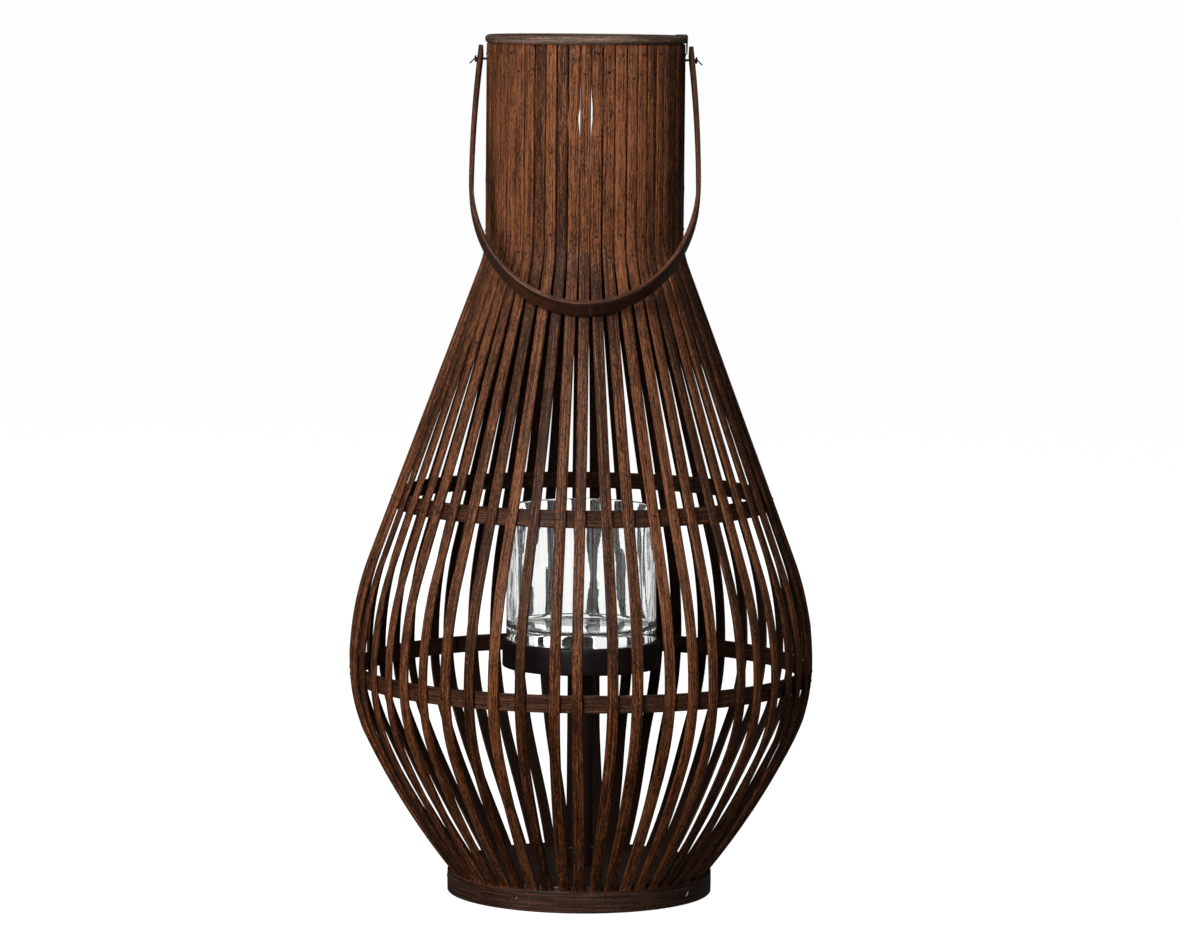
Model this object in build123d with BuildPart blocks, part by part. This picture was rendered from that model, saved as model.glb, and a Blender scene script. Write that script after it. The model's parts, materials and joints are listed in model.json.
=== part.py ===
from build123d import *
import os
from math import acos, asin, cos, degrees, radians, sin, tan

# Bottle-shaped bamboo slat lantern with a bail handle and a glass candle cylinder.
# Millimetres. The origin is the middle of the foot, on the ground. +Z is up, the
# handle hangs towards -Y, and its two tie points lie on the X axis.

# ---------------------------------------------------------------- driving dimensions
SLAT_COUNT = 52
SLATS_PER_NODE = 2
SLAT_WIDTH = 7.5
SLAT_THICKNESS = 3.0

# The slat's mid-line, from the foot up to the top of the neck.
FOOT_RADIUS = 89.55
FOOT_CLEARANCE = 1.0
FOOT_BEND_RADIUS = 6.9
FLARE_RADIUS = 508.5
LOWER_BELLY_RADIUS = 118.5
LOWER_BELLY_ANGLE = 26.0
BELLY_RADIUS = 161.0
BELLY_HEIGHT = 162.0
SHOULDER_RADIUS = 208.5
SHOULDER_ANGLE = 20.5
NECK_BEND_RADIUS = 61.5
NECK_RADIUS = 67.5
SLAT_TOP = 593.9

SNUG_GAP = 0.05

RIM_CANE_DIAMETER = 6.0
RIM_RING_RADIUS = 67.2
RIM_TOP = 600.0

NECK_BAND_THICKNESS = 3.0
NECK_TOP_BAND_LOW = 566.0
NECK_TOP_BAND_HIGH = 592.0
NECK_LOWER_BAND_LOW = 445.0
NECK_LOWER_BAND_HIGH = 470.0

HOOP_THICKNESS = 3.0
HOOP_WIDTH = 12.0
UPPER_HOOP_HEIGHT = 276.7
LOWER_HOOP_HEIGHT = 155.0
HOOP_GAP = 0.25

BASE_DISC_RADIUS = 88.0
BASE_DISC_THICKNESS = 18.0
BASE_BAND_INNER_RADIUS = 91.4
BASE_BAND_THICKNESS = 1.5
BASE_BAND_HEIGHT = 15.0

POST_DIAMETER = 18.6
PLATFORM_RADIUS = 55.2
PLATFORM_TOP = 177.4
PLATFORM_THICKNESS = 18.4
PLATFORM_CHAMFER = 0.8

SCREW_HEAD_RADIUS = 4.0
SCREW_HEAD_SINK = 0.6
SCREW_SHANK_RADIUS = 2.0
SCREW_LENGTH = 45.0
SCREW_HOLE_CLEARANCE = 0.3
SCREW_SLOT_LENGTH = 4.4
SCREW_SLOT_WIDTH = 0.9
SCREW_SLOT_DEPTH = 1.6
COUNTERSINK_ANGLE = 90

GLASS_RADIUS = 52.8
GLASS_HEIGHT = 94.0
GLASS_WALL = 3.0
GLASS_BASE = 9.0
GLASS_REST_GAP = 0.05
GLASS_WELL_FILLET = 4.0
GLASS_FOOT_FILLET = 2.0
GLASS_LIP_FILLET = 1.2

PIVOT_HEIGHT = 583.0
STRIP_WIDTH = 20.0
STRIP_THICKNESS = 3.2
STRIP_END_RISE = 11.0
STRIP_PIVOT_HALF_SPAN = 73.4
STRIP_WIDEST_HALF_SPAN = 77.9
STRIP_WIDEST_DROP = 97.0
STRIP_BOTTOM_DROP = 191.0
STRIP_CORNER_RADIUS = 3.0
HANDLE_TILT = 29.1

TIE_DIAMETER = 2.0
TIE_RUNNING_CLEARANCE = 0.075
TIE_WIRE_DIAMETER = 1.0
TIE_KNOT_DIAMETER = 5.0
TIE_KNOT_LENGTH = 2.0
TIE_KNOT_GAP = 0.4
TIE_TAIL_LENGTH = 5.0
TIE_TAIL_OUTWARD = 0.6
TIE_TAIL_FORWARD = 0.2
TIE_TAIL_DOWN = 0.8
TIE_HOOK_RISE = 7.0
LASHING_ANGLE = -1.5 * 360 / SLAT_COUNT
LASHING_LOW = 587.0
LASHING_CORNER_RADIUS = 1.5

NAIL_DIAMETER = 1.2
NAIL_HEAD_DIAMETER = 2.0
NAIL_HEAD_THICKNESS = 0.3
NAIL_LENGTH = 5.6
BASE_NAIL_LENGTH = 12.0
BASE_NAIL_HEIGHT = 3.5
NECK_NAIL_STAGGER = 12.0
NECK_TOP_NAIL_HEIGHT = 580.0
NECK_LOWER_NAIL_HEIGHT = 457.5
HOOP_NAIL_STAGGER = 3.0

TOE_NAIL_DIAMETER = 1.8
TOE_NAIL_HEAD_DIAMETER = 2.8
TOE_NAIL_LENGTH = 20.0
TOE_NAIL_RISE = 12.5
TOE_NAIL_SLOPE = 70.0
TOE_NAIL_COUNT = 3
TOE_NAIL_FIRST_ANGLE = -131.0

STAPLE_ANGLES = (-28.0, 54.0, 128.0, 200.0, 266.0)
STAPLE_CROWN = 5.0
STAPLE_WIRE = 0.8
STAPLE_LEG = 2.5
STAPLE_SLANT = 55.0

# ---------------------------------------------------------------- derived dimensions
SLAT_PITCH = 360 / SLAT_COUNT
FRONT = -90
HALF_SLAT = SLAT_THICKNESS / 2

flare_cosine = (
    LOWER_BELLY_RADIUS * (1 - cos(radians(LOWER_BELLY_ANGLE)))
    + FLARE_RADIUS * cos(radians(LOWER_BELLY_ANGLE))
    + FOOT_BEND_RADIUS
    - (BELLY_RADIUS - FOOT_RADIUS)
) / (FLARE_RADIUS + FOOT_BEND_RADIUS)
FLARE_ANGLE = degrees(acos(flare_cosine))
FOOT_BEND_HEIGHT = (
    BELLY_HEIGHT
    - LOWER_BELLY_RADIUS * sin(radians(LOWER_BELLY_ANGLE))
    - FLARE_RADIUS * (sin(radians(FLARE_ANGLE)) - sin(radians(LOWER_BELLY_ANGLE)))
    - FOOT_BEND_RADIUS * sin(radians(FLARE_ANGLE))
)
shoulder_drop = (SHOULDER_RADIUS + NECK_BEND_RADIUS) * (1 - cos(radians(SHOULDER_ANGLE)))
SHOULDER_LENGTH = (BELLY_RADIUS - NECK_RADIUS - shoulder_drop) / sin(radians(SHOULDER_ANGLE))

NECK_BAND_RADIUS = NECK_RADIUS - HALF_SLAT - SNUG_GAP
STRIP_OUTER_X = STRIP_PIVOT_HALF_SPAN + STRIP_THICKNESS / 2
TIE_INNER_X = NECK_BAND_RADIUS - NECK_BAND_THICKNESS - TIE_WIRE_DIAMETER / 2 - SNUG_GAP
TIE_KNOT_X = STRIP_OUTER_X + TIE_KNOT_GAP

SHOULDER_TOP = BELLY_HEIGHT + SHOULDER_RADIUS * sin(radians(SHOULDER_ANGLE))
NECK_BEND_LOW = SHOULDER_TOP + SHOULDER_LENGTH * cos(radians(SHOULDER_ANGLE))
NECK_BEND_HIGH = NECK_BEND_LOW + NECK_BEND_RADIUS * sin(radians(SHOULDER_ANGLE))


def slat_midline(height):
    """Radius of the slat's mid-line at a height, and its lean inwards in degrees."""
    if height >= NECK_BEND_HIGH:
        return NECK_RADIUS, 0.0
    if height >= NECK_BEND_LOW:
        lean = degrees(asin((NECK_BEND_HIGH - height) / NECK_BEND_RADIUS))
        return NECK_RADIUS + NECK_BEND_RADIUS * (1 - cos(radians(lean))), lean
    if height >= SHOULDER_TOP:
        start_radius = BELLY_RADIUS - SHOULDER_RADIUS * (1 - cos(radians(SHOULDER_ANGLE)))
        return start_radius - (height - SHOULDER_TOP) * tan(radians(SHOULDER_ANGLE)), SHOULDER_ANGLE
    bend_radius = SHOULDER_RADIUS if height >= BELLY_HEIGHT else LOWER_BELLY_RADIUS
    lean = degrees(asin((height - BELLY_HEIGHT) / bend_radius))
    return BELLY_RADIUS - bend_radius * (1 - cos(radians(lean))), lean


def save(builder, name):
    """Label a finished piece and write it as its own STEP file."""
    builder.part.label = name
    export_step(builder.part, f"parts/{name}.step")


os.makedirs("parts", exist_ok=True)

# ---------------------------------------------------------------- bamboo slats
# One slat stands at angle 0, bent to the bottle's outline.
with BuildPart() as slat:
    with BuildSketch(Plane.XZ):
        with BuildLine():
            foot = Line((FOOT_RADIUS, FOOT_CLEARANCE), (FOOT_RADIUS, FOOT_BEND_HEIGHT))
            bend = JernArc(foot @ 1, foot % 1, FOOT_BEND_RADIUS, -FLARE_ANGLE)
            flare = JernArc(bend @ 1, bend % 1, FLARE_RADIUS, FLARE_ANGLE - LOWER_BELLY_ANGLE)
            belly = JernArc(flare @ 1, flare % 1, LOWER_BELLY_RADIUS, LOWER_BELLY_ANGLE)
            shoulder = JernArc(belly @ 1, belly % 1, SHOULDER_RADIUS, SHOULDER_ANGLE)
            incline = PolarLine(shoulder @ 1, SHOULDER_LENGTH, direction=shoulder % 1)
            neck_bend = JernArc(incline @ 1, incline % 1, NECK_BEND_RADIUS, -SHOULDER_ANGLE)
            Line(neck_bend @ 1, (NECK_RADIUS, SLAT_TOP))
        trace(line_width=SLAT_THICKNESS)
    extrude(amount=SLAT_WIDTH / 2, both=True)


def build_slat_group(first_slat):
    """Neighbouring slats, drilled where the tie wire passes through the neck."""
    with BuildPart() as slat_group:
        with PolarLocations(
            0,
            SLATS_PER_NODE,
            start_angle=FRONT + first_slat * SLAT_PITCH,
            angular_range=(SLATS_PER_NODE - 1) * SLAT_PITCH,
            endpoint=True,
        ):
            add(slat.part)
        with BuildSketch(Plane.YZ):
            with Locations((0, PIVOT_HEIGHT)):
                Circle(TIE_DIAMETER / 2 + SNUG_GAP)
        extrude(amount=NECK_RADIUS + SLAT_THICKNESS, both=True, mode=Mode.SUBTRACT)
    return slat_group


for group in range(SLAT_COUNT // SLATS_PER_NODE):
    save(build_slat_group(group * SLATS_PER_NODE), f"slat_pair_{group + 1:02d}")

# ---------------------------------------------------------------- rim, bands and hoops
with BuildPart() as rim_ring:
    with BuildSketch(Plane.XZ):
        with Locations((RIM_RING_RADIUS, RIM_TOP - RIM_CANE_DIAMETER / 2)):
            Circle(RIM_CANE_DIAMETER / 2)
    revolve(axis=Axis.Z)
save(rim_ring, "rim_ring")


def build_neck_band(low, high):
    """A bent strip inside the neck that the slats are nailed to."""
    with BuildPart() as band:
        with BuildSketch(Plane.XY.offset(low)):
            Circle(NECK_BAND_RADIUS)
            Circle(NECK_BAND_RADIUS - NECK_BAND_THICKNESS, mode=Mode.SUBTRACT)
        extrude(amount=high - low)
        with BuildSketch(Plane.YZ):
            with Locations((0, PIVOT_HEIGHT)):
                Circle(TIE_DIAMETER / 2 + SNUG_GAP)
        extrude(amount=NECK_RADIUS, both=True, mode=Mode.SUBTRACT)
    return band


save(build_neck_band(NECK_TOP_BAND_LOW, NECK_TOP_BAND_HIGH), "neck_top_band")
save(build_neck_band(NECK_LOWER_BAND_LOW, NECK_LOWER_BAND_HIGH), "neck_lower_band")


def build_hoop(height, width):
    """A bent strip inside the slats, leaning as they do at its height."""
    midline_radius, lean = slat_midline(height)
    set_back = HALF_SLAT + HOOP_GAP + HOOP_THICKNESS / 2
    hoop_radius = midline_radius - set_back / cos(radians(lean))
    with BuildPart() as hoop:
        with BuildSketch(Plane.XZ):
            with Locations(Location((hoop_radius, height), lean)):
                Rectangle(HOOP_THICKNESS, width)
        revolve(axis=Axis.Z)
    return hoop


save(build_hoop(UPPER_HOOP_HEIGHT, HOOP_WIDTH), "upper_hoop")
save(build_hoop(LOWER_HOOP_HEIGHT, HOOP_WIDTH), "lower_hoop")

# ---------------------------------------------------------------- base and candle stand
with BuildPart() as base_disc:
    with BuildSketch():
        Circle(BASE_DISC_RADIUS)
    extrude(amount=BASE_DISC_THICKNESS)
save(base_disc, "base_disc")

with BuildPart() as base_band:
    with BuildSketch():
        Circle(BASE_BAND_INNER_RADIUS + BASE_BAND_THICKNESS)
        Circle(BASE_BAND_INNER_RADIUS, mode=Mode.SUBTRACT)
    extrude(amount=BASE_BAND_HEIGHT)
save(base_band, "base_band")

platform_bottom = PLATFORM_TOP - PLATFORM_THICKNESS

with BuildPart() as post:
    with BuildSketch(Plane.XY.offset(BASE_DISC_THICKNESS)):
        Circle(POST_DIAMETER / 2)
    extrude(amount=platform_bottom - BASE_DISC_THICKNESS)
save(post, "post")

with BuildPart() as platform:
    with BuildSketch(Plane.XY.offset(platform_bottom)):
        Circle(PLATFORM_RADIUS)
    extrude(amount=PLATFORM_THICKNESS)
    chamfer(platform.edges().filter_by(GeomType.CIRCLE), length=PLATFORM_CHAMFER)
    with Locations((0, 0, PLATFORM_TOP)):
        CounterSinkHole(
            radius=SCREW_SHANK_RADIUS + SCREW_HOLE_CLEARANCE,
            counter_sink_radius=SCREW_HEAD_RADIUS + 2 * SCREW_HOLE_CLEARANCE,
            counter_sink_angle=COUNTERSINK_ANGLE,
        )
save(platform, "platform")

# The screw's countersunk head lies just below the platform's face, under the glass.
screw_top = PLATFORM_TOP - SCREW_HEAD_SINK

with BuildPart() as platform_screw:
    with BuildSketch(Plane.XZ):
        with BuildLine():
            Polyline(
                (0, screw_top),
                (SCREW_HEAD_RADIUS, screw_top),
                (SCREW_SHANK_RADIUS, screw_top - SCREW_HEAD_RADIUS + SCREW_SHANK_RADIUS),
                (SCREW_SHANK_RADIUS, screw_top - SCREW_LENGTH + SCREW_HEAD_RADIUS),
                (0, screw_top - SCREW_LENGTH),
                close=True,
            )
        make_face()
    revolve(axis=Axis.Z)
    with BuildSketch(Plane.XY.offset(screw_top)):
        Rectangle(SCREW_SLOT_LENGTH, SCREW_SLOT_WIDTH)
        Rectangle(SCREW_SLOT_WIDTH, SCREW_SLOT_LENGTH)
    extrude(amount=-SCREW_SLOT_DEPTH, mode=Mode.SUBTRACT)
save(platform_screw, "platform_screw")

# ---------------------------------------------------------------- glass cylinder
glass_foot = PLATFORM_TOP + GLASS_REST_GAP

with BuildPart() as candle_glass:
    with BuildSketch(Plane.XY.offset(glass_foot)):
        Circle(GLASS_RADIUS)
    extrude(amount=GLASS_HEIGHT)
    with BuildSketch(Plane.XY.offset(glass_foot + GLASS_BASE)):
        Circle(GLASS_RADIUS - GLASS_WALL)
    extrude(amount=GLASS_HEIGHT - GLASS_BASE, mode=Mode.SUBTRACT)
    well_edge = candle_glass.edges().filter_by(GeomType.CIRCLE).group_by(Axis.Z)[1]
    fillet(well_edge, radius=GLASS_WELL_FILLET)
    foot_edge = candle_glass.edges().filter_by(GeomType.CIRCLE).group_by(Axis.Z)[0]
    fillet(foot_edge, radius=GLASS_FOOT_FILLET)
    lip_edges = candle_glass.edges().filter_by(GeomType.CIRCLE).group_by(Axis.Z)[-1]
    fillet(lip_edges, radius=GLASS_LIP_FILLET)
save(candle_glass, "candle_glass")

# ---------------------------------------------------------------- bail handle
# The strip is bent in its own plane, which hangs forward from the tie points.
handle_plane = Plane(
    origin=(0, 0, PIVOT_HEIGHT),
    x_dir=(1, 0, 0),
    z_dir=(0, -cos(radians(HANDLE_TILT)), sin(radians(HANDLE_TILT))),
)
leg_gain = STRIP_WIDEST_HALF_SPAN - STRIP_PIVOT_HALF_SPAN
leg_radius = (STRIP_WIDEST_DROP**2 + leg_gain**2) / (2 * leg_gain)
leg_angle = degrees(asin((STRIP_WIDEST_DROP + STRIP_END_RISE) / leg_radius))

with BuildPart() as handle:
    with BuildSketch(handle_plane):
        with BuildLine():
            JernArc((STRIP_WIDEST_HALF_SPAN, -STRIP_WIDEST_DROP), (0, 1), leg_radius, leg_angle)
            JernArc((-STRIP_WIDEST_HALF_SPAN, -STRIP_WIDEST_DROP), (0, 1), leg_radius, -leg_angle)
            EllipticalCenterArc(
                (0, -STRIP_WIDEST_DROP),
                STRIP_WIDEST_HALF_SPAN,
                STRIP_BOTTOM_DROP - STRIP_WIDEST_DROP,
                start_angle=180,
                arc_size=180,
            )
        trace(line_width=STRIP_THICKNESS)
    extrude(amount=STRIP_WIDTH / 2, both=True)
    end_faces = handle.faces().sort_by(Axis(handle_plane.origin, handle_plane.y_dir))[-2:]
    corner_edges = end_faces.edges().filter_by(lambda edge: edge.length < STRIP_THICKNESS + SNUG_GAP)
    fillet(corner_edges, radius=STRIP_CORNER_RADIUS)
    with BuildSketch(Plane.YZ):
        with Locations((0, PIVOT_HEIGHT)):
            Circle(TIE_DIAMETER / 2 + TIE_RUNNING_CLEARANCE)
    extrude(amount=STRIP_OUTER_X + STRIP_THICKNESS, both=True, mode=Mode.SUBTRACT)
save(handle, "handle")


# ---------------------------------------------------------------- wire ties
def wire_run(start, end):
    """A straight run of tie wire from one point to another."""
    run = Vector(*end) - Vector(*start)
    with BuildPart() as wire:
        with BuildSketch(Plane(start, z_dir=run)):
            Circle(TIE_WIRE_DIAMETER / 2)
        extrude(amount=run.length)
    return wire


def build_tie(side, inner_end):
    """A wire tie: the pivot shank through the neck wall, its outer knot, its tail and its inner run.

    side is -1 on the left and 1 on the right, and inner_end is where the wire stops inside the neck.
    """
    shank_inner_x = side * TIE_INNER_X
    tail_start = (side * (TIE_KNOT_X + TIE_KNOT_LENGTH / 2), 0, PIVOT_HEIGHT)
    tail_lean = Vector(side * TIE_TAIL_OUTWARD, -TIE_TAIL_FORWARD, -TIE_TAIL_DOWN)
    tail_end = Vector(*tail_start) + tail_lean * TIE_TAIL_LENGTH
    tail = wire_run(tail_start, tail_end)
    inner_run = wire_run((shank_inner_x, 0, PIVOT_HEIGHT), inner_end)
    with BuildPart() as tie:
        with BuildSketch(Plane.YZ.offset(shank_inner_x)):
            with Locations((0, PIVOT_HEIGHT)):
                Circle(TIE_DIAMETER / 2)
        extrude(amount=side * (TIE_KNOT_X - TIE_INNER_X))
        with BuildSketch(Plane.YZ.offset(side * TIE_KNOT_X)):
            with Locations((0, PIVOT_HEIGHT)):
                Circle(TIE_KNOT_DIAMETER / 2)
        extrude(amount=side * TIE_KNOT_LENGTH)
        add(tail.part)
        add(inner_run.part)
    return tie


save(build_tie(-1, (-TIE_INNER_X, 0, PIVOT_HEIGHT + TIE_HOOK_RISE)), "handle_tie_left")

# The right tie also lashes the rim ring down: its loop squeezes through the gap between two slats.
lashing_plane = Plane.XZ.rotated((0, 0, LASHING_ANGLE))
lashing_outer_x = RIM_RING_RADIUS + (RIM_CANE_DIAMETER + TIE_WIRE_DIAMETER) / 2 + SNUG_GAP
lashing_top = RIM_TOP + TIE_WIRE_DIAMETER / 2 + SNUG_GAP

with BuildPart() as lashing:
    with BuildLine(lashing_plane) as lashing_path:
        FilletPolyline(
            (TIE_INNER_X, LASHING_LOW),
            (TIE_INNER_X, lashing_top),
            (lashing_outer_x, lashing_top),
            (lashing_outer_x, LASHING_LOW),
            radius=LASHING_CORNER_RADIUS,
            close=True,
        )
    with BuildSketch(lashing_path.line ^ 0):
        Circle(TIE_WIRE_DIAMETER / 2)
    sweep(path=lashing_path.line)

lashing_foot = lashing_plane.from_local_coords((TIE_INNER_X, LASHING_LOW + 2 * LASHING_CORNER_RADIUS, 0))
right_tie = build_tie(1, lashing_foot)

with BuildPart() as handle_tie_right:
    add(right_tie.part)
    add(lashing.part)
save(handle_tie_right, "handle_tie_right")


# ---------------------------------------------------------------- nails and staples
def build_nail(outward, diameter, head_diameter, length):
    """A nail driven in along a plane's normal, with its flat head on the plane."""
    with BuildPart() as nail:
        with BuildSketch(outward):
            Circle(diameter / 2)
        extrude(amount=-length)
        with BuildSketch(outward):
            Circle(head_diameter / 2)
        extrude(amount=NAIL_HEAD_THICKNESS)
    return nail


def build_nail_ring(height, stagger):
    """One nail through every slat, square to its face, in two staggered rows."""
    rows = []
    for row_height in (height - stagger / 2, height + stagger / 2):
        midline_radius, lean = slat_midline(row_height)
        square_to_slat = (cos(radians(lean)), 0, sin(radians(lean)))
        face_point = Vector(midline_radius, 0, row_height) + Vector(*square_to_slat) * HALF_SLAT
        outward = Plane(face_point, z_dir=square_to_slat)
        rows.append(build_nail(outward, NAIL_DIAMETER, NAIL_HEAD_DIAMETER, NAIL_LENGTH))
    with BuildPart() as nail_ring:
        for row, nail in enumerate(rows):
            with PolarLocations(0, SLAT_COUNT // 2, start_angle=FRONT + row * SLAT_PITCH):
                add(nail.part)
    return nail_ring


save(build_nail_ring(NECK_TOP_NAIL_HEIGHT, NECK_NAIL_STAGGER), "neck_top_pins")
save(build_nail_ring(NECK_LOWER_NAIL_HEIGHT, NECK_NAIL_STAGGER), "neck_lower_pins")
save(build_nail_ring(UPPER_HOOP_HEIGHT, HOOP_NAIL_STAGGER), "upper_hoop_pins")
save(build_nail_ring(LOWER_HOOP_HEIGHT, HOOP_NAIL_STAGGER), "lower_hoop_pins")

base_nail_plane = Plane((FOOT_RADIUS + HALF_SLAT, 0, BASE_NAIL_HEIGHT), z_dir=(1, 0, 0))
base_nail = build_nail(base_nail_plane, NAIL_DIAMETER, NAIL_HEAD_DIAMETER, BASE_NAIL_LENGTH)

with BuildPart() as base_nails:
    with PolarLocations(0, SLAT_COUNT, start_angle=FRONT):
        add(base_nail.part)
save(base_nails, "base_nails")

# The toe nails slant down through the post's foot into the base disc.
toe_nail_plane = Plane(
    (POST_DIAMETER / 2, 0, BASE_DISC_THICKNESS + TOE_NAIL_RISE),
    z_dir=(cos(radians(TOE_NAIL_SLOPE)), 0, sin(radians(TOE_NAIL_SLOPE))),
)
toe_nail = build_nail(toe_nail_plane, TOE_NAIL_DIAMETER, TOE_NAIL_HEAD_DIAMETER, TOE_NAIL_LENGTH)

with BuildPart() as post_toe_nails:
    with PolarLocations(0, TOE_NAIL_COUNT, start_angle=TOE_NAIL_FIRST_ANGLE):
        add(toe_nail.part)
save(post_toe_nails, "post_toe_nails")

# A slanted staple holds the base band wherever the strip needed pulling in.
staple_face = Plane(
    (BASE_BAND_INNER_RADIUS + BASE_BAND_THICKNESS, 0, BASE_BAND_HEIGHT / 2),
    x_dir=(0, cos(radians(STAPLE_SLANT)), sin(radians(STAPLE_SLANT))),
    z_dir=(1, 0, 0),
)

with BuildPart() as staple:
    with BuildSketch(staple_face):
        Rectangle(STAPLE_CROWN, STAPLE_WIRE)
    extrude(amount=STAPLE_WIRE)
    with BuildSketch(staple_face):
        with GridLocations(STAPLE_CROWN - STAPLE_WIRE, 0, 2, 1):
            Rectangle(STAPLE_WIRE, STAPLE_WIRE)
    extrude(amount=-STAPLE_LEG)

with BuildPart() as base_staples:
    for staple_angle in STAPLE_ANGLES:
        with PolarLocations(0, 1, start_angle=FRONT + staple_angle):
            add(staple.part)
save(base_staples, "base_staples")
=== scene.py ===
"""Looks of a bottle-shaped bamboo slat lantern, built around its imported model.

Every sub-assembly is a class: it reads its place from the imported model, builds its meshes there and
dresses them in a finish. Lengths are metres and angles are radians unless a name ends in _deg.
"""

import json
import logging
import math
import random
from collections.abc import Callable, Sequence
from dataclasses import dataclass, field
from enum import Enum
from typing import NamedTuple

import bmesh
import bpy
from mathutils import Matrix, Quaternion, Vector, noise

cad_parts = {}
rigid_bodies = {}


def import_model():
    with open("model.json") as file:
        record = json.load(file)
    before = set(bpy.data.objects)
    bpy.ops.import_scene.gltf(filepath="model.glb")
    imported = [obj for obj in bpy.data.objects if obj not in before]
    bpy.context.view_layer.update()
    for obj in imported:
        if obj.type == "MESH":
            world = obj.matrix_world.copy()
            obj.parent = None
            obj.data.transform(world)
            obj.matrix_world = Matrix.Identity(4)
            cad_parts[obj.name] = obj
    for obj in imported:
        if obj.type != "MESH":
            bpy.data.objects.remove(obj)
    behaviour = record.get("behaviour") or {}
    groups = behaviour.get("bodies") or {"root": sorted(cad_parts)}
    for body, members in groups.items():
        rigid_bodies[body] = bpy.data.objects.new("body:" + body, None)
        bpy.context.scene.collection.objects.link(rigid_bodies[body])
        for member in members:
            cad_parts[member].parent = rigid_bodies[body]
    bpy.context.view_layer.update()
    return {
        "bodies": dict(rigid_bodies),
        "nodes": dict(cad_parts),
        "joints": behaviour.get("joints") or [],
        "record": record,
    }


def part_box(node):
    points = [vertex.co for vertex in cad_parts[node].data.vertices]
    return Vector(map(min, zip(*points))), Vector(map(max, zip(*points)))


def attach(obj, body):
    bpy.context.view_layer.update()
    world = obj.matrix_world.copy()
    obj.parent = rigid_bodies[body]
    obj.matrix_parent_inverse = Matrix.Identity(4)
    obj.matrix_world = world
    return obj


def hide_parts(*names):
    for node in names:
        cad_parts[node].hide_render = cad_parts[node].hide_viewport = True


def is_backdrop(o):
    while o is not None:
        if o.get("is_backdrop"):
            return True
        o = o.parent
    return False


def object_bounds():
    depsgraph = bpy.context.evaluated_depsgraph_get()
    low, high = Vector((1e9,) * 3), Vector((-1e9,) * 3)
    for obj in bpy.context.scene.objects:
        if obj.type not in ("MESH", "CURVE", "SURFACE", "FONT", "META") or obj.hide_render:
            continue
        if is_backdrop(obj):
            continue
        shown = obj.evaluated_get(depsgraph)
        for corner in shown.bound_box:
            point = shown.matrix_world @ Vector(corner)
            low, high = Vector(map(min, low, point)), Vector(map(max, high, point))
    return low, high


LOG = logging.getLogger("slat_lantern")
FULL_TURN = 2 * math.pi
FRONT = -math.pi / 2
UP = Vector((0, 0, 1))

Colour = tuple[float, float, float]
Pairs = list[tuple[float, float]]
Socket = bpy.types.NodeSocket


class Body(Enum):
    """The parts of the lantern that move as one."""

    CAGE = "cage"
    BAIL = "bail"
    GLASS = "glass"


class Slot(Enum):
    """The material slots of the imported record."""

    SLAT = "bamboo_slat"
    CANE = "rattan_cane"
    STRIP = "bamboo_strip"
    HANDLE = "handle_strip"
    BOARD = "base_wood"
    BASE_STRIP = "base_strip"
    GLASS = "clear_glass"
    TIE = "tie_wire"
    NAIL = "nail_steel"
    BRIGHT = "bright_steel"


class Side(Enum):
    """The two tie points of the handle, as the sign of their place on the X axis."""

    LEFT = -1
    RIGHT = 1


# ---------------------------------------------------------------- small helpers
def polar(radius: float, angle: float, height: float) -> Vector:
    """Place a point by its distance from the lantern's axis."""
    return Vector((radius * math.cos(angle), radius * math.sin(angle), height))


def ease(value: float, low: float, high: float) -> float:
    """Go smoothly from 0 to 1 as a value goes from low to high."""
    share = min(1.0, max(0.0, (value - low) / (high - low)))
    return share * share * (3 - 2 * share)


def bell(value: float, centre: float, spread: float) -> float:
    """Rise to 1 at a centre and fall away on both sides of it."""
    return math.exp(-(((value - centre) / spread) ** 2))


def wander(place: float, seed: float) -> float:
    """A smooth wave that never repeats."""
    return noise.noise(Vector((place, seed * 7.31, seed * 1.7)))


# ---------------------------------------------------------------- meshes
class SkinPoint(NamedTuple):
    """A mesh point with what its finish needs to know.

    grain is its place along, across and through the wood. tone is how light the piece is, from -1 to 1.
    shade is how much painted shade darkens a face: 1 on faces that never see the light. joint is 1 on a ridge
    of the bamboo.
    """

    place: Vector
    grain: Vector
    tone: float = 0.0
    shade: float = 0.0
    joint: float = 0.0


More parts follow.
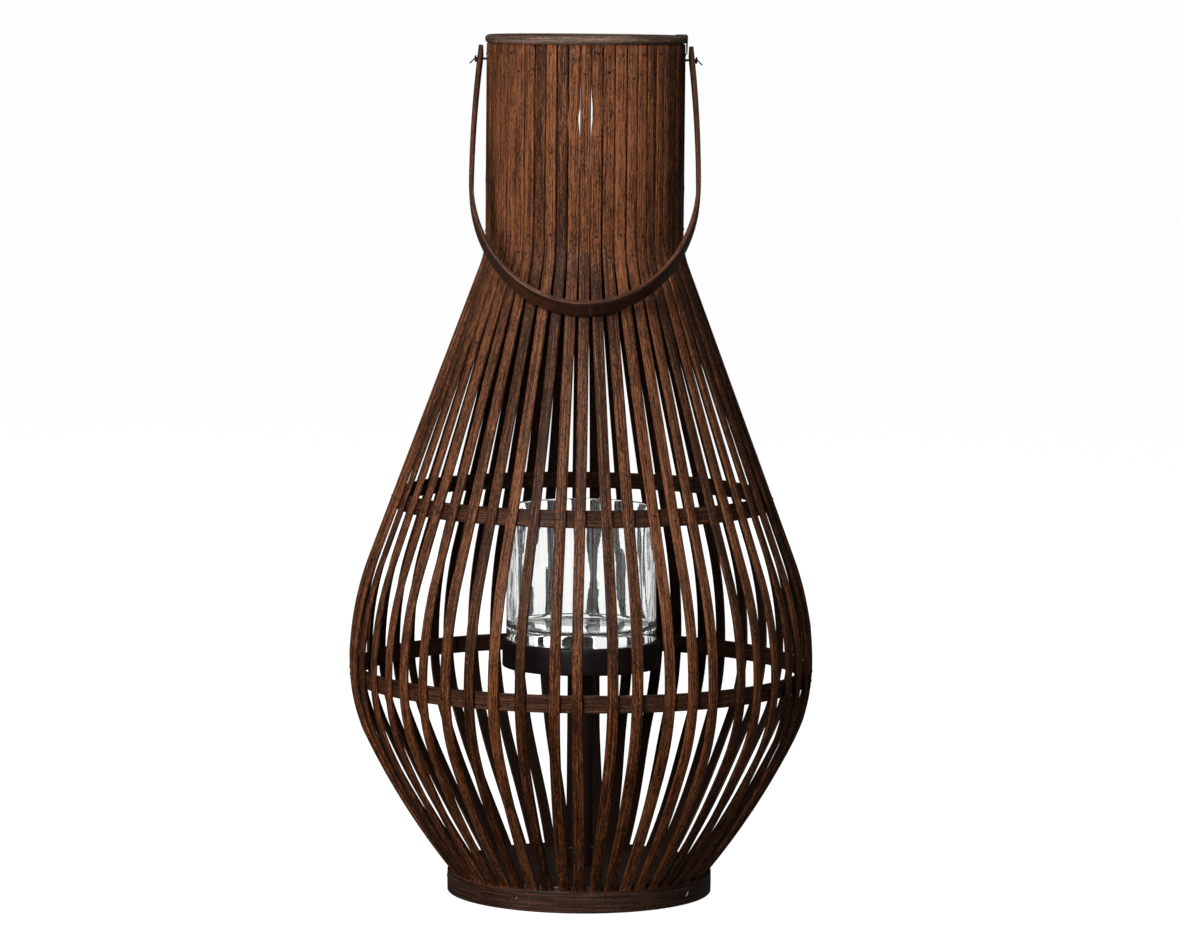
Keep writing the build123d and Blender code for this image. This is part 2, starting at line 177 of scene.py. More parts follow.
@dataclass
class Skin:
    """The points and faces of a piece while it is being made."""

    points: list[SkinPoint] = field(default_factory=list)
    faces: list[tuple[int, ...]] = field(default_factory=list)

    def add_ring(self, ring: Sequence[SkinPoint]) -> range:
        """Add points without faces.

        Args:
            ring: The points, in order.

        Returns:
            Their numbers in the skin.
        """
        first = len(self.points)
        self.points.extend(ring)
        return range(first, len(self.points))

    def join(self, lower: Sequence[int], upper: Sequence[int]) -> None:
        """Lay a row of four-sided faces between two closed rings.

        Args:
            lower: Point numbers of one ring.
            upper: Point numbers of the other, as many.
        """
        count = len(lower)
        for here in range(count):
            after = (here + 1) % count
            self.faces.append((lower[here], lower[after], upper[after], upper[here]))

    def loft(self, rings: Sequence[Sequence[SkinPoint]], closed_path: bool = False) -> None:
        """Skin a row of closed rings, and cap both ends where the row is open.

        Args:
            rings: The rings, all with as many points.
            closed_path: Whether the last ring joins the first again.
        """
        numbers = [self.add_ring(ring) for ring in rings]
        for lower, upper in zip(numbers, numbers[1:]):
            self.join(lower, upper)
        if closed_path:
            self.join(numbers[-1], numbers[0])
        else:
            self.faces += [tuple(numbers[0]), tuple(numbers[-1])]

    def add_tube(self, path: Sequence[Vector], radius: float, sides: int, closed: bool = False) -> None:
        """Run a round wire along a path.

        Args:
            path: The points of its middle.
            radius: Half its thickness.
            sides: How many points go round it.
            closed: Whether the path closes on itself.
        """
        count = len(path)
        normal = None
        rings = []
        along = 0.0
        for here, centre in enumerate(path):
            after = path[(here + 1) % count] if closed or here < count - 1 else centre
            before = path[here - 1] if closed or here > 0 else centre
            heading = (after - before).normalized()
            if normal is None:
                normal = heading.orthogonal().normalized()
            normal = (normal - heading * normal.dot(heading)).normalized()
            other = heading.cross(normal)
            ring = []
            for step in range(sides):
                turn = FULL_TURN * step / sides
                offset = normal * math.cos(turn) + other * math.sin(turn)
                grain = Vector((along, turn * radius, radius))
                ring.append(SkinPoint(centre + offset * radius, grain))
            rings.append(ring)
            along += (after - centre).length
        self.loft(rings, closed_path=closed)

    def add_turned(
        self,
        outline: Sequence[tuple[float, float]],
        steps: int,
        grain_of: Callable[[Vector], Vector],
        placing: Matrix | None = None,
        wave: Callable[[float, float, float], float] | None = None,
    ) -> None:
        """Turn an outline round an axis, and close it at both ends.

        Args:
            outline: Radius and height of each point, from one end to the other.
            steps: How many points go round.
            grain_of: Gives a point's place in the wood's grain.
            placing: Moves the turned shape to its place.
            wave: Gives what is added to the radius at an angle, height and radius.
        """
        rings = []
        for radius, height in outline:
            ring = []
            for step in range(steps):
                angle = FULL_TURN * step / steps
                added = wave(angle, height, radius) if wave else 0.0
                place = polar(radius + added, angle, height)
                if placing:
                    place = placing @ place
                ring.append(SkinPoint(place, grain_of(place)))
            rings.append(ring)
        self.loft(rings)

    def make(self, name: str, body: Body, stands_for: Sequence[str]) -> bpy.types.Object:
        """Turn the skin into a piece of the lantern.

        Args:
            name: The piece's name.
            body: The body it moves with.
            stands_for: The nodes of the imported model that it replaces.

        Returns:
            The new object.
        """
        mesh = bpy.data.meshes.new(name)
        mesh.from_pydata([point.place for point in self.points], [], self.faces)
        grain = mesh.attributes.new("grain", "FLOAT_VECTOR", "POINT")
        grain.data.foreach_set("vector", [value for point in self.points for value in point.grain])
        for channel in ("tone", "shade", "joint"):
            attribute = mesh.attributes.new(channel, "FLOAT", "POINT")
            attribute.data.foreach_set("value", [getattr(point, channel) for point in self.points])
        builder = bmesh.new()
        builder.from_mesh(mesh)
        bmesh.ops.recalc_face_normals(builder, faces=builder.faces)
        for face in builder.faces:
            face.smooth = True
        builder.to_mesh(mesh)
        builder.free()
        mesh.update()
        piece = bpy.data.objects.new(name, mesh)
        bpy.context.scene.collection.objects.link(piece)
        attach(piece, body.value)
        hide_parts(*stands_for)
        LOG.info("%s: %d points, stands for %s", name, len(mesh.vertices), ", ".join(stands_for))
        return piece


@dataclass(frozen=True)
class StripSection:
    """The cross-section of a split and planed strip, with rounded edges.

    crown is how much the outer face is domed. Grooves run along both faces.
    """

    width: float
    thickness: float
    corner: float
    crown: float = 0.0
    grooves: int = 0
    groove_depth: float = 0.0
    face_points: int = 4
    corner_points: int = 3

    def face_line(self, outer: bool) -> Pairs:
        """Points of one face between its two corners, from one edge to the other.

        Args:
            outer: Whether this is the outer, domed face.

        Returns:
            Place across and place through the strip of each point.
        """
        half_flat = self.width / 2 - self.corner
        sign = 1 if outer else -1
        count = 4 * self.grooves + 1 if self.grooves else self.face_points
        line = []
        for step in range(count + 1):
            share = step / count
            across = half_flat * (2 * share - 1)
            dome = self.crown * (across / half_flat) ** 2 if outer else 0.0
            groove = self.groove_depth * max(0.0, math.cos(FULL_TURN * (self.grooves * share - 0.5)))
            line.append((across, sign * (self.thickness / 2 - dome - (groove if self.grooves else 0.0))))
        return line

    def loop(self) -> Pairs:
        """The whole outline, once round.

        Returns:
            Place across and place through the strip of each point.
        """
        edge = self.edge_line()
        left_edge = [(-across, through) for across, through in reversed(edge)]
        return self.face_line(outer=True) + edge + self.face_line(outer=False)[::-1] + left_edge

    def edge_line(self) -> Pairs:
        """Points of the rounded right edge, from the outer face to the inner one.

        Returns:
            Place across and place through the strip of each point.
        """
        half_flat = self.width / 2 - self.corner
        outer_centre = self.thickness / 2 - self.crown - self.corner
        inner_centre = self.corner - self.thickness / 2
        line = []
        for centre, first_turn in ((outer_centre, math.pi / 2), (inner_centre, 0.0)):
            for step in range(self.corner_points + 1):
                turn = first_turn - math.pi / 2 * step / self.corner_points
                across = half_flat + self.corner * math.cos(turn)
                line.append((across, centre + self.corner * math.sin(turn)))
        return line[1:-1]


# ---------------------------------------------------------------- finishes
CRISP = (0.4, 0.6)
WIDE = (0.3, 0.7)


class NodeGraph:
    """A material's nodes, with a short way to add each kind that the finishes use."""

    def __init__(self, name: str) -> None:
        """Start a material.

        Args:
            name: The material's name.
        """
        self.material = bpy.data.materials.new(name)
        self.material.use_nodes = True
        self.tree = self.material.node_tree
        self.shader = self.tree.nodes["Principled BSDF"]

    def put(self, value: Socket | float | Sequence[float], socket: Socket) -> None:
        """Feed a socket.

        Args:
            value: Another node's output, or a plain value.
            socket: The input that takes it.
        """
        if isinstance(value, bpy.types.NodeSocket):
            self.tree.links.new(value, socket)
        else:
            socket.default_value = value

    def feed(self, name: str, value: Socket) -> None:
        """Feed one of the surface shader's inputs."""
        self.put(value, self.shader.inputs[name])

    def attribute(self, channel: str) -> Socket:
        """Read a value that the mesh keeps at each point.

        Args:
            channel: The value's name.

        Returns:
            The vector output for the grain, and the plain one for the rest.
        """
        node = self.tree.nodes.new("ShaderNodeAttribute")
        node.attribute_name = channel
        return node.outputs["Vector" if channel == "grain" else "Fac"]

    def object_place(self) -> Socket:
        """The place in the lantern's own frame."""
        return self.tree.nodes.new("ShaderNodeTexCoord").outputs["Object"]

    def stretched(self, vector: Socket, lengths: Sequence[float]) -> Socket:
        """Measure a place in spots of a given size.

        Args:
            vector: The place.
            lengths: How long a spot is along each axis.

        Returns:
            The place counted in spots.
        """
        node = self.tree.nodes.new("ShaderNodeMapping")
        self.put(vector, node.inputs["Vector"])
        node.inputs["Scale"].default_value = [1 / length for length in lengths]
        return node.outputs["Vector"]

    def spots(self, vector: Socket, detail: float = 2.0, roughness: float = 0.5, bend: float = 0.0) -> Socket:
        """Soft random spots.

        Args:
            vector: The place counted in spots.
            detail: How many finer layers are added.
            roughness: How strong the finer layers are.
            bend: How far the spots are pulled out of shape.

        Returns:
            A value about 0.5, mostly from 0.3 to 0.7.
        """
        node = self.tree.nodes.new("ShaderNodeTexNoise")
        self.put(vector, node.inputs["Vector"])
        node.inputs["Scale"].default_value = 1.0
        node.inputs["Detail"].default_value = detail
        node.inputs["Roughness"].default_value = roughness
        node.inputs["Distortion"].default_value = bend
        return node.outputs[0]

    def streaks(
        self,
        size: Sequence[float],
        detail: float = 2.0,
        roughness: float = 0.5,
        bend: float = 0.0,
    ) -> Socket:
        """Random spots that are drawn out along the grain.

        Args:
            size: How long and how wide a spot is.
            detail: How many finer layers are added.
            roughness: How strong the finer layers are.
            bend: How far the spots are pulled out of shape.

        Returns:
            A value about 0.5, mostly from 0.3 to 0.7.
        """
        length, width = size
        place = self.stretched(self.attribute("grain"), (length, width, width))
        return self.spots(place, detail, roughness, bend)

    def spread(
        self,
        value: Socket,
        low: float,
        high: float,
        new_low: float = 0.0,
        new_high: float = 1.0,
    ) -> Socket:
        """Move a value from one range to another, and keep it there.

        Args:
            value: The value.
            low: Low end of the old range.
            high: High end of the old range.
            new_low: Low end of the new range.
            new_high: High end of the new range.

        Returns:
            The moved value.
        """
        node = self.tree.nodes.new("ShaderNodeMapRange")
        for name, number in zip(("From Min", "From Max", "To Min", "To Max"), (low, high, new_low, new_high)):
            node.inputs[name].default_value = number
        self.put(value, node.inputs["Value"])
        return node.outputs["Result"]

    def calculate(self, operation: str, first: Socket | float, second: Socket | float) -> Socket:
        """Combine two values.

        Args:
            operation: The Math node's name for it.
            first: First value.
            second: Second value.

        Returns:
            The result.
        """
        node = self.tree.nodes.new("ShaderNodeMath")
        node.operation = operation
        self.put(first, node.inputs[0])
        self.put(second, node.inputs[1])
        return node.outputs[0]

    def total(self, *parts: tuple[Socket | float, float]) -> Socket:
        """Add values up, each with its own weight.

        Args:
            parts: Pairs of a value and its weight.

        Returns:
            The sum.
        """
        added = 0.0
        for value, weight in parts:
            added = self.calculate("ADD", self.calculate("MULTIPLY", value, weight), added)
        return added

    def ramp(self, value: Socket, stops: Sequence[tuple[float, Colour]]) -> Socket:
        """Turn a value into a colour.

        Args:
            value: A value from 0 to 1.
            stops: Pairs of a place on the ramp and its colour, in order.

        Returns:
            The colour.
        """
        node = self.tree.nodes.new("ShaderNodeValToRGB")
        marks = node.color_ramp.elements
        while len(marks) < len(stops):
            marks.new(1.0)
        for mark, (place, colour) in zip(marks, stops):
            mark.position = place
            mark.color = (*colour, 1.0)
        self.put(value, node.inputs["Fac"])
        return node.outputs["Color"]

    def mix(self, share: Socket | float, first: Socket | Colour, second: Socket | Colour) -> Socket:
        """Mix two colours.

        Args:
            share: How much of the second colour there is.
            first: First colour.
            second: Second colour.

        Returns:
            The mixed colour.
        """
        node = self.tree.nodes.new("ShaderNodeMix")
        node.data_type = "RGBA"
        self.put(share, node.inputs[0])
        for colour, socket in ((first, node.inputs[6]), (second, node.inputs[7])):
            self.put(colour if isinstance(colour, bpy.types.NodeSocket) else (*colour, 1.0), socket)
        return node.outputs[2]

    def bump(self, height: Socket, distance: float, strength: float = 1.0) -> None:
        """Give the surface a fine relief.

        Args:
            height: The relief, from 0 to 1.
            distance: How high 1 stands.
            strength: How much of the relief shows.
        """
        node = self.tree.nodes.new("ShaderNodeBump")
        node.inputs["Strength"].default_value = strength
        node.inputs["Distance"].default_value = distance
        self.put(height, node.inputs["Height"])
        self.feed("Normal", node.outputs["Normal"])

    def settle(self, **values: float | Sequence[float]) -> None:
        """Set values that are the same all over the surface."""
        for name, value in values.items():
            self.shader.inputs[name.replace("_", " ")].default_value = value


@dataclass(frozen=True)
class StainedBamboo:
    """Split bamboo or cane, stained dark and varnished thinly, so that its fibres show as streaks. Faces
    marked by the shade mask get a dark painted shade colour.
    """

    name: str
    dark: Colour
    middle: Colour
    light: Colour
    # painted shade: the dark colour painted on faces that the light never reaches
    painted_shade: Colour = (0.021, 0.0075, 0.0036)
    fibre_width: float = 0.0007
    fibre_length: float = 0.009
    relief: float = 0.0011
    gloss: float = 0.42
    varnish: float = 0.06
    shine: float = 0.34
    glint: Colour = (1.0, 0.8, 0.62)
    hair_size: tuple[float, float] = (0.0024, 0.00036)
    patch_size: tuple[float, float] = (0.016, 0.005)
    cloud_size: tuple[float, float] = (0.07, 0.02)
    fleck_size: tuple[float, float] = (0.0011, 0.0005)
    line_length: float = 0.06
    joint_darkness: float = 0.22

    def material(self) -> bpy.types.Material:
        """Build the finish's nodes.

        Returns:
            The material.
        """
        graph = NodeGraph(self.name)
        width = self.fibre_width
        fibre = graph.streaks((self.fibre_length, width), 3.0, 0.6)
        hair = graph.streaks(self.hair_size, 2.0, 0.6)
        lines = graph.streaks((self.line_length, 0.9 * width), 2.0)
        patch = graph.streaks(self.patch_size, 2.0, 0.55, 0.6)
        cloud = graph.streaks(self.cloud_size, 1.0)
        flecks = graph.streaks(self.fleck_size, 1.0)
        joint = graph.attribute("joint")
        # painted shade: the mesh's shade mask, which marks where the dark painted shade colour goes
        painted_shade = graph.attribute("shade")
        level = graph.total(
            (graph.spread(fibre, *CRISP), 0.24),
            (graph.spread(lines, *CRISP), 0.3),
            (graph.spread(hair, *CRISP), 0.3),
            (graph.spread(patch, 0.36, 0.64), 0.08),
            (graph.spread(cloud, 0.38, 0.62), 0.08),
            (graph.attribute("tone"), 0.085),
            (joint, -self.joint_darkness),
            (graph.calculate("MULTIPLY", joint, graph.spread(flecks, 0.54, 0.6)), 0.5),
        )
        colour = graph.ramp(level, ((0.21, self.dark), (0.5, self.middle), (0.85, self.light)))
        pores = graph.spread(graph.calculate("MULTIPLY", fibre, hair), 0.11, 0.16)
        colour = graph.mix(pores, tuple(0.3 * part for part in self.dark), colour)
        # paints shade over the grain colour on the faces that never see the light
        graph.feed("Base Color", graph.mix(painted_shade, colour, self.painted_shade))
        worn = graph.total((fibre, 0.4), (hair, 0.6))
        rough = graph.spread(worn, *CRISP, self.gloss + 0.24, self.gloss - 0.14)
        graph.feed("Roughness", graph.total((rough, 1.0), (painted_shade, 0.35)))
        graph.bump(graph.total((fibre, 0.45), (hair, 0.55)), self.relief)
        graph.settle(Coat_Weight=self.varnish, Coat_Roughness=0.3, Specular_IOR_Level=self.shine)
        graph.settle(Specular_Tint=(*self.glint, 1.0))
        return graph.material


@dataclass(frozen=True)
class StainedBoard:
    """A stained softwood board or dowel, with grain lines that run along it."""

    name: str
    dark: Colour
    light: Colour
    line_width: float = 0.0016
    line_length: float = 0.05
    gloss: float = 0.45
    varnish: float = 0.3

    def material(self) -> bpy.types.Material:
        """Build the finish's nodes.

        Returns:
            The material.
        """
        graph = NodeGraph(self.name)
        grain = graph.attribute("grain")
        width = self.line_width
        lines = graph.spots(graph.stretched(grain, (self.line_length, width, width * 2)), 3.0, 0.55, 0.3)
        fine = graph.spots(graph.stretched(grain, (self.line_length / 5, width / 4, width / 4)), 2.0, 0.6)
        broad = graph.spots(graph.stretched(grain, (0.08, 0.014, 0.014)), 1.0)
        level = graph.total(
            (graph.spread(lines, *WIDE), 0.5),
            (graph.spread(fine, *WIDE), 0.25),
            (graph.spread(broad, 0.35, 0.65), 0.25),
        )
        graph.feed("Base Color", graph.ramp(level, ((0.15, self.dark), (0.95, self.light))))
        rough = graph.spread(lines, *WIDE, self.gloss + 0.1, self.gloss - 0.08)
        graph.feed("Roughness", rough)
        graph.bump(graph.total((lines, 0.6), (fine, 0.4)), 0.00012)
        graph.settle(Coat_Weight=self.varnish, Coat_Roughness=0.3)
        return graph.material


@dataclass(frozen=True)
class WornSteel:
    """Steel wire or a nail, drawn smooth and dulled in places."""

    name: str
    clean: Colour
    dull: Colour
    roughness: float = 0.35
    metal: float = 1.0

    def material(self) -> bpy.types.Material:
        """Build the finish's nodes.

        Returns:
            The material.
        """
        graph = NodeGraph(self.name)
        place = graph.object_place()
        stain = graph.spots(graph.stretched(place, (0.003, 0.003, 0.003)), 3.0, 0.6)
        scratch = graph.spots(graph.stretched(place, (0.0004, 0.0004, 0.0015)), 2.0, 0.6)
        stained = graph.spread(stain, 0.42, 0.6)
        graph.feed("Base Color", graph.mix(stained, self.clean, self.dull))
        worn = graph.total((stain, 0.6), (scratch, 0.4))
        rough = graph.spread(worn, 0.35, 0.65, self.roughness - 0.1, self.roughness + 0.2)
        graph.feed("Roughness", rough)
        graph.bump(scratch, 0.00003)
        graph.settle(Metallic=self.metal)
        return graph.material


@dataclass(frozen=True)
class MouldedGlass:
    """Cheap clear glass with a faint green tint and a slightly uneven surface."""

    name: str
    tint: Colour = (0.988, 0.997, 0.992)
    clearness: float = 0.98

    def material(self) -> bpy.types.Material:
        """Build the finish's nodes.

        Returns:
            The material.
        """
        graph = NodeGraph(self.name)
        place = graph.object_place()
        ripple = graph.spots(graph.stretched(place, (0.012, 0.012, 0.04)), 1.0, 0.5, 0.3)
        pits = graph.spots(graph.stretched(place, (0.0015, 0.0015, 0.003)), 1.0)
        smear = graph.spread(ripple, 0.5, 0.75, 0.0, 0.04)
        graph.feed("Roughness", smear)
        shade = tuple(0.97 * part for part in self.tint)
        graph.feed("Base Color", graph.mix(graph.spread(ripple, 0.35, 0.65), self.tint, shade))
        graph.bump(graph.total((ripple, 0.97), (pits, 0.03)), 0.0006, 0.25)
        graph.settle(Transmission_Weight=self.clearness, IOR=1.5)
        return graph.material


Finish = StainedBamboo | StainedBoard | WornSteel | MouldedGlass


@dataclass
class SubAssembly:
    """Pieces that are built together, each with the finish that dresses it."""

    looks: list[tuple[bpy.types.Object, Finish]] = field(default_factory=list, init=False)

    def keep(self, piece: bpy.types.Object, finish: Finish) -> None:
        """Note a piece and the finish that it gets."""
        self.looks.append((piece, finish))

    def dress(self) -> None:
        """Give every piece its finish. Pieces with the same finish share one material."""
        materials = {}
        for piece, finish in self.looks:
            if finish.name not in materials:
                materials[finish.name] = finish.material()
            piece.data.materials.clear()
            piece.data.materials.append(materials[finish.name])


# ---------------------------------------------------------------- the bent slats
class Station(NamedTuple):
    """A place on a slat's bent line. lean is how far it tips outwards, going up."""

    along: float
    radius: float
    height: float
    lean: float


@dataclass(frozen=True)
class SlatOutline:
    """The line that every slat is bent to, as straight runs and arcs from the foot to the rim."""

    foot_radius: float
    foot_height: float
    foot_run: float
    belly_radius: float
    neck_radius: float
    top: float
    foot_bend: float = 0.0069
    flare_bend: float = 0.5085
    lower_bend: float = 0.1185
    lower_turn: float = math.radians(26.0)
    shoulder_bend: float = 0.2085
    shoulder_turn: float = math.radians(20.5)
    neck_bend: float = 0.0615
    longest_step: float = 0.0048
    sharpest_step: float = math.radians(5.0)

    @property
    def flare_turn(self) -> float:
        """How far the slat leans out just above its foot.

        Returns:
            The angle that brings it to the belly's radius.
        """
        cosine = (
            self.lower_bend * (1 - math.cos(self.lower_turn))
            + self.flare_bend * math.cos(self.lower_turn)
            + self.foot_bend
            - (self.belly_radius - self.foot_radius)
        ) / (self.flare_bend + self.foot_bend)
        return math.acos(cosine)

    def runs(self) -> Pairs:
        """The straight runs and arcs, from the foot up.

        Returns:
            The length of each and how much further it tips the slat outwards.
        """
        drop = (self.shoulder_bend + self.neck_bend) * (1 - math.cos(self.shoulder_turn))
        incline = (self.belly_radius - self.neck_radius - drop) / math.sin(self.shoulder_turn)
        flare_turn = self.flare_turn
        straighten = flare_turn - self.lower_turn
        return [
            (self.foot_run, 0.0),
            (self.foot_bend * flare_turn, flare_turn),
            (self.flare_bend * straighten, -straighten),
            (self.lower_bend * self.lower_turn, -self.lower_turn),
            (self.shoulder_bend * self.shoulder_turn, -self.shoulder_turn),
            (incline, 0.0),
            (self.neck_bend * self.shoulder_turn, self.shoulder_turn),
        ]

    def stations(self) -> list[Station]:
        """Close-set places along the whole line.

        Returns:
            The places, from the foot to the top.
        """
        here = Station(0.0, self.foot_radius, self.foot_height, 0.0)
        places = [here]
        for length, turn in self.runs():
            start = here
            steps = math.ceil(max(length / self.longest_step, abs(turn) / self.sharpest_step))
            for step in range(1, steps + 1):
                here = self.further(start, length * step / steps, turn * step / steps)
                places.append(here)
        neck = self.top - here.height
        steps = math.ceil(neck / self.longest_step)
        start = here
        places += [self.further(start, neck * step / steps, 0.0) for step in range(1, steps + 1)]
        return places

    @staticmethod
    def further(start: Station, length: float, turn: float) -> Station:
        """Go along a straight run or an arc.

        Args:
            start: Where it starts.
            length: How far to go.
            turn: How much the slat tips outwards on the way.

        Returns:
            The place at its end.
        """
        middle = start.lean + turn / 2
        chord = length if abs(turn) < 1e-9 else length * math.sin(turn / 2) / (turn / 2)
        return Station(
            start.along + length,
            start.radius + chord * math.sin(middle),
            start.height + chord * math.cos(middle),
            start.lean + turn,
        )


@dataclass(frozen=True)
class Bow:
    """A short bow in a slat, which leaves a slit of even width beside it."""

    slat: int
    turn_deg: float
    height: float
    reach: float

    def angle_at(self, height: float) -> float:
        """How far round the bow moves the slat."""
        return math.radians(self.turn_deg) * math.exp(-(((height - self.height) / self.reach) ** 4))


@dataclass
class Slat:
    """One split bamboo slat, with its own place round the cage and its own flaws."""

    number: int
    neck_angle: float
    belly_angle: float
    foot_angle: float
    width: float
    thickness: float
    twist: float
    tone: float
    joints: list[float]
    bow: Bow | None
    sway: float
    stations: list[Station]
    neck_tone: float = 1.15
    shoulder_height: float = 0.44
    belly_height: float = 0.17
    foot_zone: tuple[float, float] = (0.02, 0.1)
    drift_zone: tuple[float, float] = (0.03, 0.1)
    loose_zone: tuple[float, float] = (0.40, 0.46)
    sway_zone: tuple[float, float] = (0.45, 0.515)
    twist_zones: tuple[tuple[float, float], tuple[float, float]] = ((0.05, 0.13), (0.33, 0.43))
    neck_zone: tuple[float, float] = (0.43, 0.47)
    drift: float = 0.0035
    drift_length: float = 0.15
    width_stray: float = 0.00022
    width_wave: float = 0.05
    joint_reach: float = 0.0042
    joint_rise: float = 0.00022
    end_share: float = 0.93

    def angle_at(self, height: float) -> float:
        """Where the slat stands round the lantern's axis.

        Args:
            height: Height above the ground.

        Returns:
            The angle from +X.
        """
        bottom = ease(height, self.foot_zone[0], self.belly_height)
        low = self.foot_angle + (self.belly_angle - self.foot_angle) * bottom
        up = ease(height, self.belly_height, self.shoulder_height)
        drift = self.drift * wander(height / self.drift_length, self.number)
        drift *= ease(height, *self.drift_zone) * (1 - up)
        bow = self.bow.angle_at(height) if self.bow else 0.0
        sway = self.sway * ease(height, *self.foot_zone) * (1 - ease(height, *self.sway_zone))
        return low + (self.neck_angle - low) * up + drift + bow + sway

    def width_at(self, height: float) -> float:
        """The slat's width, planed a little unevenly."""
        loose = 1 - ease(height, *self.loose_zone)
        return self.width + self.width_stray * wander(height / self.width_wave, self.number + 0.5) * loose

    def frame_at(self, station: Station) -> tuple[Vector, Vector, Vector]:
        """The slat's middle and how it faces at a station.

        Args:
            station: The place along the slat.

        Returns:
            The middle, the direction across the slat and the direction outwards.
        """
        angle = self.angle_at(station.height)
        centre = polar(station.radius, angle, station.height)
        step = 0.001
        sideways = (self.angle_at(station.height + step) - self.angle_at(station.height - step)) / (2 * step)
        ahead = polar(math.sin(station.lean), angle, math.cos(station.lean))
        round_axis = Vector((-math.sin(angle), math.cos(angle), 0))
        ahead = (ahead + round_axis * sideways * station.radius * math.cos(station.lean)).normalized()
        outward = polar(1.0, angle, 0)
        outward = (outward - ahead * outward.dot(ahead)).normalized()
        across = ahead.cross(outward)
        start, stop = self.twist_zones
        free = ease(station.height, *start) * (1 - ease(station.height, *stop))
        turn = Quaternion(ahead, self.twist * free)
        return centre, -(turn @ across), turn @ outward

    def joint_at(self, along: float) -> float:
        """How much of a bamboo joint there is at a place."""
        return max((bell(along, joint, self.joint_reach) for joint in self.joints), default=0.0)

    def rings(self, section: StripSection) -> list[list[SkinPoint]]:
        """The slat's skin, ring by ring.

        Args:
            section: The cross-section of a slat of the common width.

        Returns:
            The rings, from the foot to the top.
        """
        outline = section.loop()
        inner_face = -section.thickness / 2 + section.corner * 0.6
        seed = Vector((self.number * 0.731, self.number * 0.0413, self.number * 0.0291))
        rings = []
        for order, station in enumerate(self.stations):
            centre, across, outward = self.frame_at(station)
            widen = self.width_at(station.height) / section.width
            joint = self.joint_at(station.along)
            end = order in (0, len(self.stations) - 1)
            neck_tone = self.neck_tone * ease(station.height, *self.neck_zone)
            ring = []
            for place_across, place_through in outline:
                thick = self.thickness / section.thickness
                through = section.thickness / 2 - (section.thickness / 2 - place_through) * thick
                if place_through > 0:
                    through += self.joint_rise * joint
                # the slat's inner face gets the full painted shade
                shade = 0.0 if place_through > inner_face else 1.0
                shrink = self.end_share if end else 1.0
                place = centre + across * place_across * widen * shrink + outward * through * shrink
                grain = Vector((station.along, place_across * widen, place_through)) + seed
                ring.append(SkinPoint(place, grain, self.tone + neck_tone, shade, joint))
            rings.append(ring)
        return rings

    def outer_face(self, height: float, across: float, section: StripSection) -> tuple[Vector, Vector]:
        """A place on the slat's outer face, for a nail head.

        Args:
            height: Height above the ground.
            across: Distance from the middle of the face.
            section: The cross-section of a slat.

        Returns:
            The place and the direction straight out of the face.
        """
        lower, upper = self.around(height)
        share = (height - lower.height) / (upper.height - lower.height)
        exact = Station(*(a + (b - a) * share for a, b in zip(lower, upper)))
        centre, sideways, outward = self.frame_at(exact)
        return centre + sideways * across + outward * (section.thickness / 2), outward

    def around(self, height: float) -> tuple[Station, Station]:
        """The stations just below and above a height.

        Args:
            height: Height above the ground.

        Returns:
            The two stations.
        """
        above = next((n for n, s in enumerate(self.stations) if s.height >= height), len(self.stations) - 1)
        above = max(above, 1)
        return self.stations[above - 1], self.stations[above]


